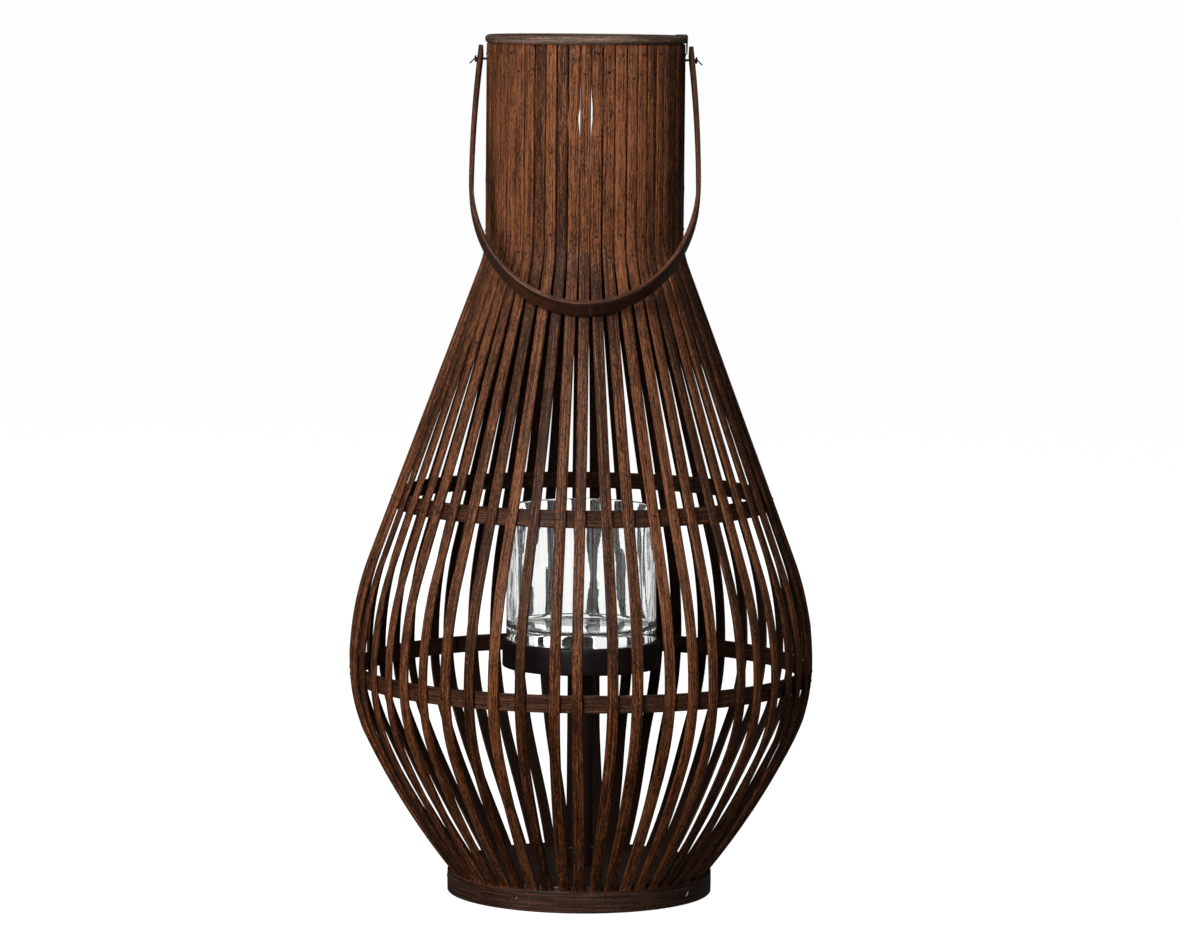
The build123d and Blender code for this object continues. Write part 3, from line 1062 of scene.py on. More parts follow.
@dataclass
class SlatCage(SubAssembly):
    """The slats that form the bottle, two to a piece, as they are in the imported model."""

    count: int = 52
    in_piece: int = 2
    foot_run: float = 0.01248
    snug_gap: float = 0.00005
    width_spread: float = 0.028
    width_limits: tuple[float, float] = (-0.07, 0.045)
    thickness_range: tuple[float, float] = (0.93, 1.0)
    belly_spread_deg: float = 0.62
    foot_spread_deg: float = 0.25
    twist_spread_deg: float = 3.5
    tone_spread: float = 0.7
    tone_limit: float = 1.5
    first_joint: tuple[float, float] = (0.02, 0.3)
    joint_spacing: tuple[float, float] = (0.2, 0.36)
    gap_power: float = 0.8
    gap_least: float = 0.25
    back_gap_share: float = 0.06
    narrowest_gap: float = 0.00012
    lashing_gap: float = 0.0011
    slit_gap: float = -0.00005
    back_gaps: tuple[float, float] = (0.0003, 0.0013)
    bows: tuple[Bow, ...] = (
        Bow(1, 0.8, 0.548, 0.0108),
        Bow(25, -0.75, 0.5445, 0.012),
        Bow(51, -0.85, 0.543, 0.0062),
    )
    back_sway_deg: float = 1.9
    sway_power: float = 1.3
    section: StripSection = StripSection(0.0075, 0.003, 0.00085, crown=0.0003, face_points=5)
    finish: StainedBamboo = StainedBamboo(
        "stained_bamboo_slat",
        dark=(0.014, 0.0042, 0.0018),
        middle=(0.068, 0.018, 0.0057),
        light=(0.46, 0.156, 0.059),
    )
    slats: list[Slat] = field(default_factory=list)

    def outline(self) -> SlatOutline:
        """Read the bottle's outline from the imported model.

        Returns:
            The line that the slats are bent to.
        """
        low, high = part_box("slat_pair_07")
        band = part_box("neck_top_band")[1].x
        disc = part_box("base_disc")[1].x
        half = self.section.thickness / 2
        neck = band + self.snug_gap + half
        foot = disc + self.snug_gap + half
        belly = high.x - half
        return SlatOutline(foot, low.z, self.foot_run, belly, neck, high.z)

    def fixed_gaps(self, corner: int, quarter: int) -> dict[int, float]:
        """The gaps round the neck that have a size of their own.

        Args:
            corner: Which quarter of the neck it is, from the front to the right and on.
            quarter: How many gaps a quarter has.

        Returns:
            The size of a gap by its place in the quarter.
        """
        return (
            {0: self.slit_gap, quarter - 2: self.lashing_gap},
            {quarter - 1: self.back_gaps[0]},
            {0: self.back_gaps[1]},
            {quarter - 1: self.slit_gap},
        )[corner]

    def neck_angles(self, draw: random.Random, widths: list[float], inner_radius: float) -> list[float]:
        """Pack the slats round the neck with uneven gaps, a quarter of the way round at a time.

        Args:
            draw: Source of the random gaps.
            widths: The slats' widths.
            inner_radius: Where neighbouring slats come closest.

        Returns:
            The angle of each slat's middle.
        """
        quarter = self.count // 4
        angles = []
        for corner in range(4):
            members = [(corner * quarter + step) % self.count for step in range(quarter + 1)]
            gaps = [draw.expovariate(1.0) ** self.gap_power + self.gap_least for _ in range(quarter)]
            taken = sum(widths[n] for n in members) - (widths[members[0]] + widths[members[-1]]) / 2
            room = inner_radius * math.pi / 2 - taken
            fixed = self.fixed_gaps(corner, quarter)
            if corner in (1, 2):
                back = quarter - 1 if corner == 1 else 0
                least = self.back_gap_share
                gaps = [
                    gap * (least + (1 - least) * ease(abs(n - back), 4, 8)) for n, gap in enumerate(gaps)
                ]
            loose = [n for n in range(quarter) if n not in fixed]
            spare = room - sum(fixed.values()) - self.narrowest_gap * len(loose)
            whole = sum(gaps[n] for n in loose)
            sizes = [fixed.get(n, self.narrowest_gap + spare * gaps[n] / whole) for n in range(quarter)]
            place = 0.0
            for step in range(quarter):
                angles.append(FRONT + corner * math.pi / 2 + place / inner_radius)
                place += (widths[members[step]] + widths[members[step + 1]]) / 2 + sizes[step]
        return angles

    def prepare(self) -> None:
        """Give every slat its place and its flaws."""
        draw = random.Random(41)
        stations = self.outline().stations()
        pitch = FULL_TURN / self.count
        widths = []
        for number in range(self.count):
            narrowest, widest = self.width_limits
            spread = max(narrowest, min(widest, draw.gauss(0, self.width_spread)))
            behind = 1 < abs(number - self.count / 2) < 6
            widths.append(self.section.width * (1 + (widest if behind else spread)))
        neck_inside = stations[-1].radius - self.section.thickness / 2
        necks = self.neck_angles(draw, widths, neck_inside)
        bows = {bow.slat: bow for bow in self.bows}
        for number in range(self.count):
            even = FRONT + number * pitch
            first_joint = draw.uniform(*self.first_joint)
            spacing = draw.uniform(*self.joint_spacing)
            self.slats.append(
                Slat(
                    number=number,
                    neck_angle=necks[number],
                    belly_angle=even + math.radians(draw.gauss(0, self.belly_spread_deg)),
                    foot_angle=even + math.radians(draw.gauss(0, self.foot_spread_deg)),
                    width=widths[number],
                    thickness=self.section.thickness * draw.uniform(*self.thickness_range),
                    twist=math.radians(draw.gauss(0, self.twist_spread_deg)),
                    tone=max(-self.tone_limit, min(self.tone_limit, draw.gauss(0, self.tone_spread))),
                    joints=[first_joint + spacing * step for step in range(4)],
                    bow=bows.get(number),
                    sway=math.radians(self.back_sway_deg) * max(0.0, math.sin(even)) ** self.sway_power,
                    stations=stations,
                )
            )

    def build(self) -> None:
        """Make the slats, piece by piece."""
        self.prepare()
        for first in range(0, self.count, self.in_piece):
            skin = Skin()
            for slat in self.slats[first : first + self.in_piece]:
                skin.loft(slat.rings(self.section))
            pair = first // self.in_piece + 1
            name = f"bamboo_slats_{pair:02d}"
            self.keep(skin.make(name, Body.CAGE, [f"slat_pair_{pair:02d}"]), self.finish)


# ---------------------------------------------------------------- rim, bands and hoops
@dataclass
class BentRing:
    """A strip or cane bent round into a ring, with its two ends cut slanting and laid together."""

    name: str
    node: str
    section: StripSection
    radius: float
    height: float
    lean: float = 0.0
    seam_angle: float = math.pi / 2
    seam_length: float = 0.03
    stray: float = 0.0004
    slot: Slot = Slot.STRIP
    step_deg: float = 2.0
    round_section: bool = False
    seed: float = 1.0
    tip: float = 0.06
    # inner_shade: how much painted shade the ring's inner face gets
    inner_shade: float = 0.55

    def outline(self) -> Pairs:
        """The cross-section, once round.

        Returns:
            Place across and place through the ring of each point.
        """
        if not self.round_section:
            return self.section.loop()
        radius = self.section.thickness / 2
        turns = [FULL_TURN * step / 16 for step in range(16)]
        return [(radius * math.cos(turn), radius * math.sin(turn)) for turn in turns]

    def rings(self) -> list[list[SkinPoint]]:
        """The ring's skin, section by section, from one cut end to the other.

        Returns:
            The sections.
        """
        overlap = self.seam_length / self.radius
        whole = FULL_TURN + overlap
        steps = round(math.degrees(whole) / self.step_deg)
        outline = self.outline()
        half = self.section.thickness / 2
        rings = []
        for step in range(steps + 1):
            turn = whole * step / steps
            angle = self.seam_angle + turn
            start_share = min(1.0, self.tip + (1 - self.tip) * turn / overlap)
            end_share = min(1.0, self.tip + (1 - self.tip) * (whole - turn) / overlap)
            round_turn = math.sin(angle + self.seed) + 0.5 * math.sin(2 * angle + 3 * self.seed)
            rise = self.stray * round_turn * 0.6
            out = self.stray * 0.35 * math.sin(3 * angle + self.seed)
            ring = []
            for across, through in outline:
                placed = (through + half) * start_share - half
                placed = half - (half - placed) * end_share
                radius = self.radius + placed * math.cos(self.lean) + across * math.sin(self.lean) + out
                height = self.height + across * math.cos(self.lean) - placed * math.sin(self.lean) + rise
                grain = Vector((turn * self.radius, across, through)) + Vector((self.seed, self.seed, 0))
                # the inner half of the ring gets part of the painted shade
                shade = self.inner_shade if through < -half * 0.5 else 0.0
                ring.append(SkinPoint(polar(radius, angle, height), grain, shade=shade))
            rings.append(ring)
        return rings

    def build(self) -> bpy.types.Object:
        """Make the ring.

        Returns:
            The new piece.
        """
        skin = Skin()
        skin.loft(self.rings())
        return skin.make(self.name, Body.CAGE, [self.node])


def ring_at(node: str) -> tuple[float, float, float, float]:
    """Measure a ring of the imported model."""
    low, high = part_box(node)
    return high.x, low.z, high.z, (low.z + high.z) / 2


@dataclass
class NeckRings(SubAssembly):
    """The cane rim and the two inner bands that hold the neck round."""

    cane: float = 0.006
    band_thickness: float = 0.003
    cane_finish: StainedBamboo = StainedBamboo(
        "stained_cane_rim",
        dark=(0.038, 0.019, 0.0125),
        middle=(0.178, 0.101, 0.07),
        light=(0.46, 0.315, 0.24),
        fibre_width=0.0005,
        fibre_length=0.012,
    )
    band_finish: StainedBamboo = StainedBamboo(
        "stained_bamboo_band",
        dark=(0.01, 0.0045, 0.003),
        middle=(0.05, 0.02, 0.012),
        light=(0.16, 0.075, 0.045),
    )

    def build(self) -> None:
        """Make the rim and the bands."""
        outer, _, _, middle = ring_at("rim_ring")
        rim = BentRing(
            name="cane_rim",
            node="rim_ring",
            section=StripSection(self.cane, self.cane, 0.001),
            radius=outer - self.cane / 2,
            height=middle,
            seam_angle=math.radians(188),
            seam_length=0.026,
            stray=0.0002,
            slot=Slot.CANE,
            round_section=True,
        )
        self.keep(rim.build(), self.cane_finish)
        for seed, node in enumerate(("neck_top_band", "neck_lower_band"), start=2):
            outer, low, high, middle = ring_at(node)
            band = BentRing(
                name=f"inner_{node}",
                node=node,
                section=StripSection(high - low, self.band_thickness, 0.0006, grooves=4, groove_depth=0.0001),
                radius=outer - self.band_thickness / 2,
                height=middle,
                seam_angle=math.radians(62 * seed),
                stray=0.0,
                seed=float(seed),
            )
            self.keep(band.build(), self.band_finish)


@dataclass
class BellyHoops(SubAssembly):
    """The two bent strips inside the belly that the slats are nailed to."""

    stations: list[Station]
    width: float = 0.012
    thickness: float = 0.003
    finish: StainedBamboo = StainedBamboo(
        "stained_bamboo_hoop",
        dark=(0.012, 0.004, 0.002),
        middle=(0.05, 0.0155, 0.0068),
        light=(0.24, 0.1, 0.055),
        fibre_width=0.0005,
        fibre_length=0.03,
    )

    def build(self) -> None:
        """Make both hoops, leaning as the slats do at their height."""
        section = StripSection(self.width, self.thickness, 0.0006, grooves=3, groove_depth=0.00028)
        for seed, node in enumerate(("upper_hoop", "lower_hoop"), start=5):
            outer, _, _, middle = ring_at(node)
            lean = min(self.stations, key=lambda station: abs(station.height - middle)).lean
            reach = self.thickness / 2 * math.cos(lean) + self.width / 2 * abs(math.sin(lean))
            hoop = BentRing(
                name=f"bent_{node}",
                node=node,
                section=section,
                radius=outer - reach,
                height=middle,
                lean=lean,
                seam_angle=math.radians(85 * seed - 385),
                seam_length=0.05,
                stray=0.0005,
                seed=float(seed),
                step_deg=1.5,
            )
            self.keep(hoop.build(), self.finish)


# ---------------------------------------------------------------- base and candle stand
def rounded_outline(radius: float, low: float, high: float, edge: float) -> Pairs:
    """The outline of a turned disc or dowel with rounded edges, from its underside to its top.

    Args:
        radius: Its radius.
        low: Height of its underside.
        high: Height of its top.
        edge: Radius of its rounded edges.

    Returns:
        Radius and height of each point.
    """
    steps = 4
    face_shares = (0.02, 0.4, 0.75)
    points = [(radius * share, low) for share in face_shares]
    for step in range(steps + 1):
        turn = math.pi / 2 * step / steps
        points.append((radius - edge + edge * math.sin(turn), low + edge - edge * math.cos(turn)))
    levels = max(2, round((high - low) / 0.006))
    for step in range(1, levels):
        points.append((radius, low + edge + (high - low - 2 * edge) * step / levels))
    for step in range(steps + 1):
        turn = math.pi / 2 * step / steps
        points.append((radius - edge + edge * math.cos(turn), high - edge + edge * math.sin(turn)))
    return points + [(radius * share, high) for share in reversed(face_shares)]


def board_grain(place: Vector) -> Vector:
    """The grain of a board that lies flat, with its fibres along X."""
    return place.copy()


def upright_grain(place: Vector) -> Vector:
    """The grain of a dowel that stands upright."""
    return Vector((place.z, place.x, place.y))


@dataclass
class Base(SubAssembly):
    """The round board, the strip bent round the slats' feet, and the staples that hold the strip."""

    nodes: dict[str, bpy.types.Object]
    board_edge: float = 0.0012
    strip_thickness: float = 0.0015
    staple_angles_deg: tuple[float, ...] = (-28.0, 54.0, 128.0, 200.0, 266.0)
    staple_crown: float = 0.005
    staple_wire: float = 0.0004
    staple_leg: float = 0.0022
    staple_slant_deg: float = 55.0
    board_finish: StainedBoard = StainedBoard(
        "stained_base_board",
        dark=(0.013, 0.0055, 0.0034),
        light=(0.062, 0.027, 0.0165),
    )
    strip_finish: StainedBamboo = StainedBamboo(
        "stained_base_strip",
        dark=(0.009, 0.004, 0.0026),
        middle=(0.033, 0.0125, 0.007),
        light=(0.19, 0.082, 0.05),
        fibre_width=0.0008,
        fibre_length=0.03,
        gloss=0.38,
        varnish=0.3,
    )
    steel: WornSteel = WornSteel("bright_staple_steel", clean=(0.75, 0.74, 0.72), dull=(0.36, 0.33, 0.3))
    nail_steel: WornSteel = WornSteel("base_nail_steel", clean=(0.12, 0.1, 0.09), dull=(0.04, 0.03, 0.025))

    def build(self) -> None:
        """Make the board, the strip and the staples."""
        low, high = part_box("base_disc")
        skin = Skin()
        skin.add_turned(rounded_outline(high.x, low.z, high.z, self.board_edge), 128, board_grain)
        self.keep(skin.make("base_board", Body.CAGE, ["base_disc"]), self.board_finish)
        outer, bottom, top, middle = ring_at("base_band")
        strip = BentRing(
            name="base_strip",
            node="base_band",
            section=StripSection(top - bottom, self.strip_thickness, 0.0005, crown=0.0001, face_points=6),
            radius=outer - self.strip_thickness / 2,
            height=middle,
            seam_angle=math.radians(112),
            seam_length=0.045,
            stray=0.0,
            slot=Slot.BASE_STRIP,
            step_deg=1.5,
            seed=9.0,
        )
        self.keep(strip.build(), self.strip_finish)
        self.build_staples(outer, middle)
        self.keep(self.nodes["base_nails"], self.nail_steel)

    def build_staples(self, face_radius: float, height: float) -> None:
        """Make the slanted staples.

        Args:
            face_radius: Radius of the strip's outer face.
            height: Height of the staples' middle.
        """
        skin = Skin()
        half = self.staple_crown / 2 - self.staple_wire
        slant = math.radians(self.staple_slant_deg)
        for angle_deg in self.staple_angles_deg:
            angle = FRONT + math.radians(angle_deg)
            outward = polar(1, angle, 0)
            along = Vector((-math.sin(angle), math.cos(angle), 0)) * math.cos(slant) + UP * math.sin(slant)
            middle = polar(face_radius + self.staple_wire * 0.7, angle, height)
            path = [middle - along * half - outward * self.staple_leg]
            for share in (-1.0, -0.86, -0.5, 0.0, 0.5, 0.86, 1.0):
                sink = self.staple_wire * (1.6 if abs(share) == 1 else 0.35 if abs(share) > 0.8 else 0.0)
                path.append(middle + along * half * share - outward * sink)
            path.append(middle + along * half - outward * self.staple_leg)
            skin.add_tube(path, self.staple_wire, 8)
        self.keep(skin.make("strip_staples", Body.CAGE, ["base_staples"]), self.steel)


@dataclass
class CandleStand(SubAssembly):
    """The dowel, the round platform on it, and the nails and screw that hold them."""

    nodes: dict[str, bpy.types.Object]
    dowel_edge: float = 0.0008
    platform_edge: float = 0.0011
    platform_rings: tuple[float, ...] = (0.03, 0.012)
    sink_radius: float = 0.0046
    screw_hole_radius: float = 0.0023
    screw_hole_floor: float = 0.004
    toe_nail_count: int = 3
    toe_nail_first_deg: float = -131.0
    toe_nail_slope_deg: float = 70.0
    toe_nail_rise: float = 0.0125
    toe_nail_shank: float = 0.0009
    toe_nail_head: float = 0.0014
    toe_nail_length: float = 0.02
    dowel_finish: StainedBoard = StainedBoard(
        "stained_dowel",
        dark=(0.008, 0.003, 0.0016),
        light=(0.04, 0.0135, 0.007),
        line_width=0.0012,
        varnish=0.12,
    )
    platform_finish: StainedBoard = StainedBoard(
        "stained_platform",
        dark=(0.004, 0.002, 0.0013),
        light=(0.019, 0.0088, 0.0056),
        varnish=0.12,
    )
    steel: WornSteel = WornSteel("bright_nail_steel", clean=(0.78, 0.76, 0.73), dull=(0.42, 0.38, 0.34))

    def build(self) -> None:
        """Make the dowel, the platform and the slanting nails at the dowel's foot."""
        low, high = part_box("post")
        skin = Skin()
        skin.add_turned(rounded_outline(high.x, low.z, high.z, self.dowel_edge), 40, upright_grain)
        self.keep(skin.make("candle_post", Body.CAGE, ["post"]), self.dowel_finish)
        floor = low.z
        radius = high.x
        low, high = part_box("platform")
        skin = Skin()
        outline = rounded_outline(high.x, low.z, high.z, self.platform_edge)[:-2]
        outline += [(ring, high.z) for ring in (*self.platform_rings, self.sink_radius)]
        hole = self.screw_hole_radius
        outline += [(hole, high.z - (self.sink_radius - hole)), (hole, low.z + self.screw_hole_floor)]
        skin.add_turned(outline, 112, board_grain)
        platform = skin.make("candle_platform", Body.CAGE, ["platform"])
        self.keep(platform, self.platform_finish)
        self.build_toe_nails(radius, floor)
        self.keep(self.nodes["platform_screw"], self.steel)

    def build_toe_nails(self, radius: float, floor: float) -> None:
        """Make the nails that slant down through the dowel's foot.

        Args:
            radius: The dowel's radius.
            floor: Height of the board's top.
        """
        skin = Skin()
        outline = nail_outline(self.toe_nail_shank, self.toe_nail_head, self.toe_nail_length)
        for step in range(self.toe_nail_count):
            angle = math.radians(self.toe_nail_first_deg) + FULL_TURN * step / self.toe_nail_count
            slope = math.radians(self.toe_nail_slope_deg)
            axis = polar(math.cos(slope), angle, math.sin(slope))
            place = Matrix.Translation(polar(radius, angle, floor + self.toe_nail_rise))
            placing = place @ axis.to_track_quat("Z", "Y").to_matrix().to_4x4()
            skin.add_turned(outline, 14, upright_grain, placing)
        self.keep(skin.make("post_nails", Body.CAGE, ["post_toe_nails"]), self.steel)


def nail_outline(shank: float, head: float, length: float) -> Pairs:
    """The outline of a nail with a low domed head, from its point up. Its head starts at height 0.

    Args:
        shank: Radius of the shank.
        head: Radius of the head.
        length: Length under the head.

    Returns:
        Radius and height of each point.
    """
    rise = head * 0.3
    outline = [(shank * 0.12, -length), (shank, -length + 2.2 * shank), (shank, -0.1 * rise)]
    outline += [(head * 0.92, 0.0), (head, rise * 0.4), (head * 0.86, rise * 0.75)]
    return outline + [(head * 0.55, rise * 0.94), (head * 0.1, rise)]


# ---------------------------------------------------------------- glass
@dataclass
class CandleGlass(SubAssembly):
    """The loose glass cylinder, moulded with a thick base and slightly wavy walls."""

    wall: float = 0.003
    base: float = 0.009
    foot_round: float = 0.002
    well_round: float = 0.004
    lip_round: float = 0.0012
    ripple: float = 0.00028
    steps: int = 180
    outer_radius: float = 0.0
    finish: MouldedGlass = MouldedGlass("moulded_clear_glass")

    def wave(self, angle: float, height: float, radius: float) -> float:
        """How far the wall strays inwards at a place.

        Args:
            angle: Angle round the axis.
            height: Height above the ground.
            radius: Distance from the axis, which tells the inner wall from the outer one.

        Returns:
            What is added to the radius.
        """
        outer_radius = self.outer_radius
        fade = ease(radius, outer_radius * 0.6, outer_radius * 0.93)
        seed = 3.0 if radius > outer_radius - self.wall / 2 else 8.0
        across = Vector((math.cos(angle) * 4.6, math.sin(angle) * 4.6, height / 0.055 + seed))
        fine = Vector((math.cos(angle) * 9.0, math.sin(angle) * 9.0, height / 0.03 + seed * 2))
        stray = noise.noise(across) + 0.45 * noise.noise(fine)
        return -self.ripple * fade * (0.75 + 0.5 * stray)

    def outline(self) -> Pairs:
        """The wall and base, from the underside up the outside and down the inside.

        Returns:
            Radius and height of each point.
        """
        low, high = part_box("candle_glass")
        outer, inner = high.x, high.x - self.wall
        floor = low.z + self.base
        points = [(outer * share, low.z + 0.0006 * (1 - share)) for share in (0.02, 0.3, 0.6, 0.8)]
        points += self.bend(outer - self.foot_round, low.z + self.foot_round, self.foot_round, -90, 0)
        levels = 22
        top = high.z - self.lip_round
        start = low.z + self.foot_round
        points += [(outer, start + (top - start) * step / levels) for step in range(1, levels)]
        points += self.bend(outer - self.lip_round, top, self.lip_round, 0, 90)
        points += self.bend(inner + self.lip_round, top, self.lip_round, 90, 180)
        start = floor + self.well_round
        points += [(inner, top + (start - top) * step / levels) for step in range(1, levels)]
        points += self.bend(inner - self.well_round, start, self.well_round, 0, -90)
        return points + [(inner * share, floor) for share in (0.75, 0.5, 0.25, 0.02)]

    @staticmethod
    def bend(centre: float, height: float, radius: float, start_deg: float, end_deg: float) -> Pairs:
        """A rounded corner of the outline."""
        turns = [math.radians(start_deg + (end_deg - start_deg) * step / 6) for step in range(7)]
        return [(centre + radius * math.cos(turn), height + radius * math.sin(turn)) for turn in turns]

    def build(self) -> None:
        """Make the glass."""
        self.outer_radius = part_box("candle_glass")[1].x
        skin = Skin()
        skin.add_turned(self.outline(), self.steps, board_grain, wave=self.wave)
        self.keep(skin.make("candle_cylinder", Body.GLASS, ["candle_glass"]), self.finish)


# ---------------------------------------------------------------- handle
@dataclass
class BailHandle(SubAssembly):
    """The bamboo strip bent to a U, which hangs from the wire ties at its two drilled ends."""

    pivot_height: float
    width: float = 0.02
    thickness: float = 0.0032
    corner: float = 0.0008
    end_round: float = 0.003
    hole_radius: float = 0.001075
    tilt_deg: float = 29.1
    end_rise: float = 0.0068
    pivot_half_span: float = 0.0734
    widest_half_span: float = 0.0779
    widest_drop: float = 0.097
    bottom_drop: float = 0.191
    step: float = 0.003
    tone: float = 0.3
    flat_columns: tuple[float, ...] = (0.45, 0.72, 1.0)
    end_marks: tuple[float, ...] = (0.0, 0.00025, 0.0008, 0.0016, 0.003)
    hole_block: float = 2.2
    hole_cells: int = 4
    first_hole_row: int = 6
    first_hole_column: int = 3
    corner_steps: int = 3
    finish: StainedBamboo = StainedBamboo(
        "stained_handle_strip",
        dark=(0.014, 0.005, 0.003),
        middle=(0.067, 0.0208, 0.0098),
        light=(0.27, 0.104, 0.055),
        fibre_width=0.0006,
        fibre_length=0.02,
        gloss=0.34,
        varnish=0.3,
    )

    def leg_offset(self, drop: float) -> float:
        """How far a leg stands from the middle above its widest place.

        Args:
            drop: Distance below the pivot.

        Returns:
            The distance from the middle.
        """
        gain = self.widest_half_span - self.pivot_half_span
        radius = (self.widest_drop**2 + gain**2) / (2 * gain)
        return self.widest_half_span - radius + math.sqrt(radius**2 - (self.widest_drop - drop) ** 2)

    def outline(self) -> Pairs:
        """The strip's middle line in its own plane, from the left end to the right one.

        Returns:
            Place across and place above the pivot of close-set points.
        """
        leg = []
        count = 400
        for step in range(count + 1):
            drop = -self.end_rise + (self.widest_drop + self.end_rise) * step / count
            leg.append((self.leg_offset(drop), -drop))
        bow = []
        for step in range(1, 2 * count):
            turn = math.pi * step / (2 * count)
            drop = self.widest_drop + (self.bottom_drop - self.widest_drop) * math.sin(turn)
            bow.append((-self.widest_half_span * math.cos(turn), -drop))
        left = [(-across, rise) for across, rise in leg]
        return left + bow + leg[::-1]

    def spaced(self) -> list[tuple[float, float, float]]:
        """The middle line with points at even steps, and closer ones near its ends.

        Returns:
            Distance along, place across and place above the pivot of each point.
        """
        line = self.outline()
        marks = [0.0]
        for before, after in zip(line, line[1:]):
            marks.append(marks[-1] + math.dist(before, after))
        whole = marks[-1]
        hole = self.end_rise
        block = self.hole_radius * self.hole_block
        near = [*self.end_marks, (self.end_marks[-1] + hole - block) / 2]
        near += [hole + block * share for share in (-1, -0.5, 0, 0.5, 1, self.hole_block)]
        middle_start = near[-1] + self.step
        count = math.ceil((whole - 2 * middle_start) / self.step)
        middle = [middle_start + (whole - 2 * middle_start) * step / count for step in range(count + 1)]
        wanted = near + middle + [whole - mark for mark in reversed(near)]
        points = []
        here = 0
        for mark in wanted:
            while here < len(marks) - 2 and marks[here + 1] < mark:
                here += 1
            share = (mark - marks[here]) / (marks[here + 1] - marks[here])
            before, after = line[here], line[here + 1]
            points.append((mark, *(a + (b - a) * share for a, b in zip(before, after))))
        return points

    def half_width(self, along: float, whole: float) -> float:
        """Half the strip's width, which rounds off at both ends.

        Args:
            along: Distance from the left end.
            whole: The strip's length.

        Returns:
            Half the width.
        """
        reach = min(along, whole - along)
        half = self.width / 2
        if reach < self.end_round:
            half -= self.end_round - math.sqrt(self.end_round**2 - (self.end_round - reach) ** 2)
        return half

    def columns(self) -> list[float]:
        """Places across the strip, as shares of half its flat width, with a block for the hole."""
        block = self.hole_radius * self.hole_block / (self.width / 2 - self.corner)
        right = [block / 2, block, *self.flat_columns]
        return [-share for share in reversed(right)] + [0.0] + right

    def ring_places(self) -> list[tuple[float, float, float]]:
        """The cross-section, once round.

        Returns:
            Share of the half width, place past it, and place through the strip of each point.
        """
        half = self.thickness / 2
        columns = self.columns()
        crown = [0.00012 * share**2 for share in columns]
        places = [(share, 0.0, half - dome) for share, dome in zip(columns, crown)]
        edge = []
        for centre, first in ((half - self.corner - crown[-1], 90), (self.corner - half, 0)):
            for step in range(self.corner_steps + 1):
                turn = math.radians(first - 90 / self.corner_steps * step)
                edge.append((1.0, self.corner * math.cos(turn), centre + self.corner * math.sin(turn)))
        places += edge[1:-1]
        places += [(share, 0.0, -half) for share in reversed(columns)]
        places += [(-share, -past, through) for share, past, through in reversed(edge[1:-1])]
        return places

    def build(self) -> None:
        """Make the strip with its two holes."""
        tilt = math.radians(self.tilt_deg)
        upward = Vector((0, math.sin(tilt), math.cos(tilt)))
        sideways = Vector((0, -math.cos(tilt), math.sin(tilt)))
        points = self.spaced()
        whole = points[-1][0]
        places = self.ring_places()
        skin = Skin()
        rings = []
        frames = []
        for order, (along, across, rise) in enumerate(points):
            before = points[max(order - 1, 0)]
            after = points[min(order + 1, len(points) - 1)]
            heading = Vector((1, 0, 0)) * (after[1] - before[1]) + upward * (after[2] - before[2])
            outward = heading.normalized().cross(sideways).normalized()
            centre = Vector((across, 0, self.pivot_height)) + upward * rise
            half_flat = self.half_width(along, whole) - self.corner
            thin = 0.9 if order in (0, len(points) - 1) else 1.0
            frames.append((centre, along))
            ring = []
            for share, past, through in places:
                wide = half_flat * share + past
                place = centre + sideways * wide + outward * through * thin
                ring.append(SkinPoint(place, Vector((along, wide, through)), self.tone))
            rings.append(skin.add_ring(ring))
        self.skin_with_holes(skin, rings, frames)
        self.keep(skin.make("bent_handle", Body.BAIL, ["handle"]), self.finish)

    def skin_with_holes(
        self,
        skin: Skin,
        rings: list[range],
        frames: list[tuple[Vector, float]],
    ) -> None:
        """Lay the faces between the rings, and leave a round hole near both ends.

        Args:
            skin: The skin that holds the rings.
            rings: Point numbers of every ring.
            frames: Middle and distance along of every ring.
        """
        cells = self.hole_cells
        outer_column = [self.first_hole_column + cell for cell in range(cells + 1)]
        last = 2 * len(self.columns()) + 2 * self.corner_steps - 1
        inner_column = [last - column for column in outer_column]
        blocks = (self.first_hole_row, len(rings) - 1 - self.first_hole_row - cells)
        skipped = {
            (row, min(side[cell], side[cell + 1]))
            for block in blocks
            for row in range(block, block + cells)
            for cell in range(cells)
            for side in (outer_column, inner_column)
        }
        count = len(rings[0])
        for row, (lower, upper) in enumerate(zip(rings, rings[1:])):
            for here in range(count):
                if (row, here) not in skipped:
                    after = (here + 1) % count
                    skin.faces.append((lower[here], lower[after], upper[after], upper[here]))
        skin.faces += [tuple(rings[0]), tuple(rings[-1])]
        for block in blocks:
            self.add_hole(skin, rings, frames[block + cells // 2], block, (outer_column, inner_column))

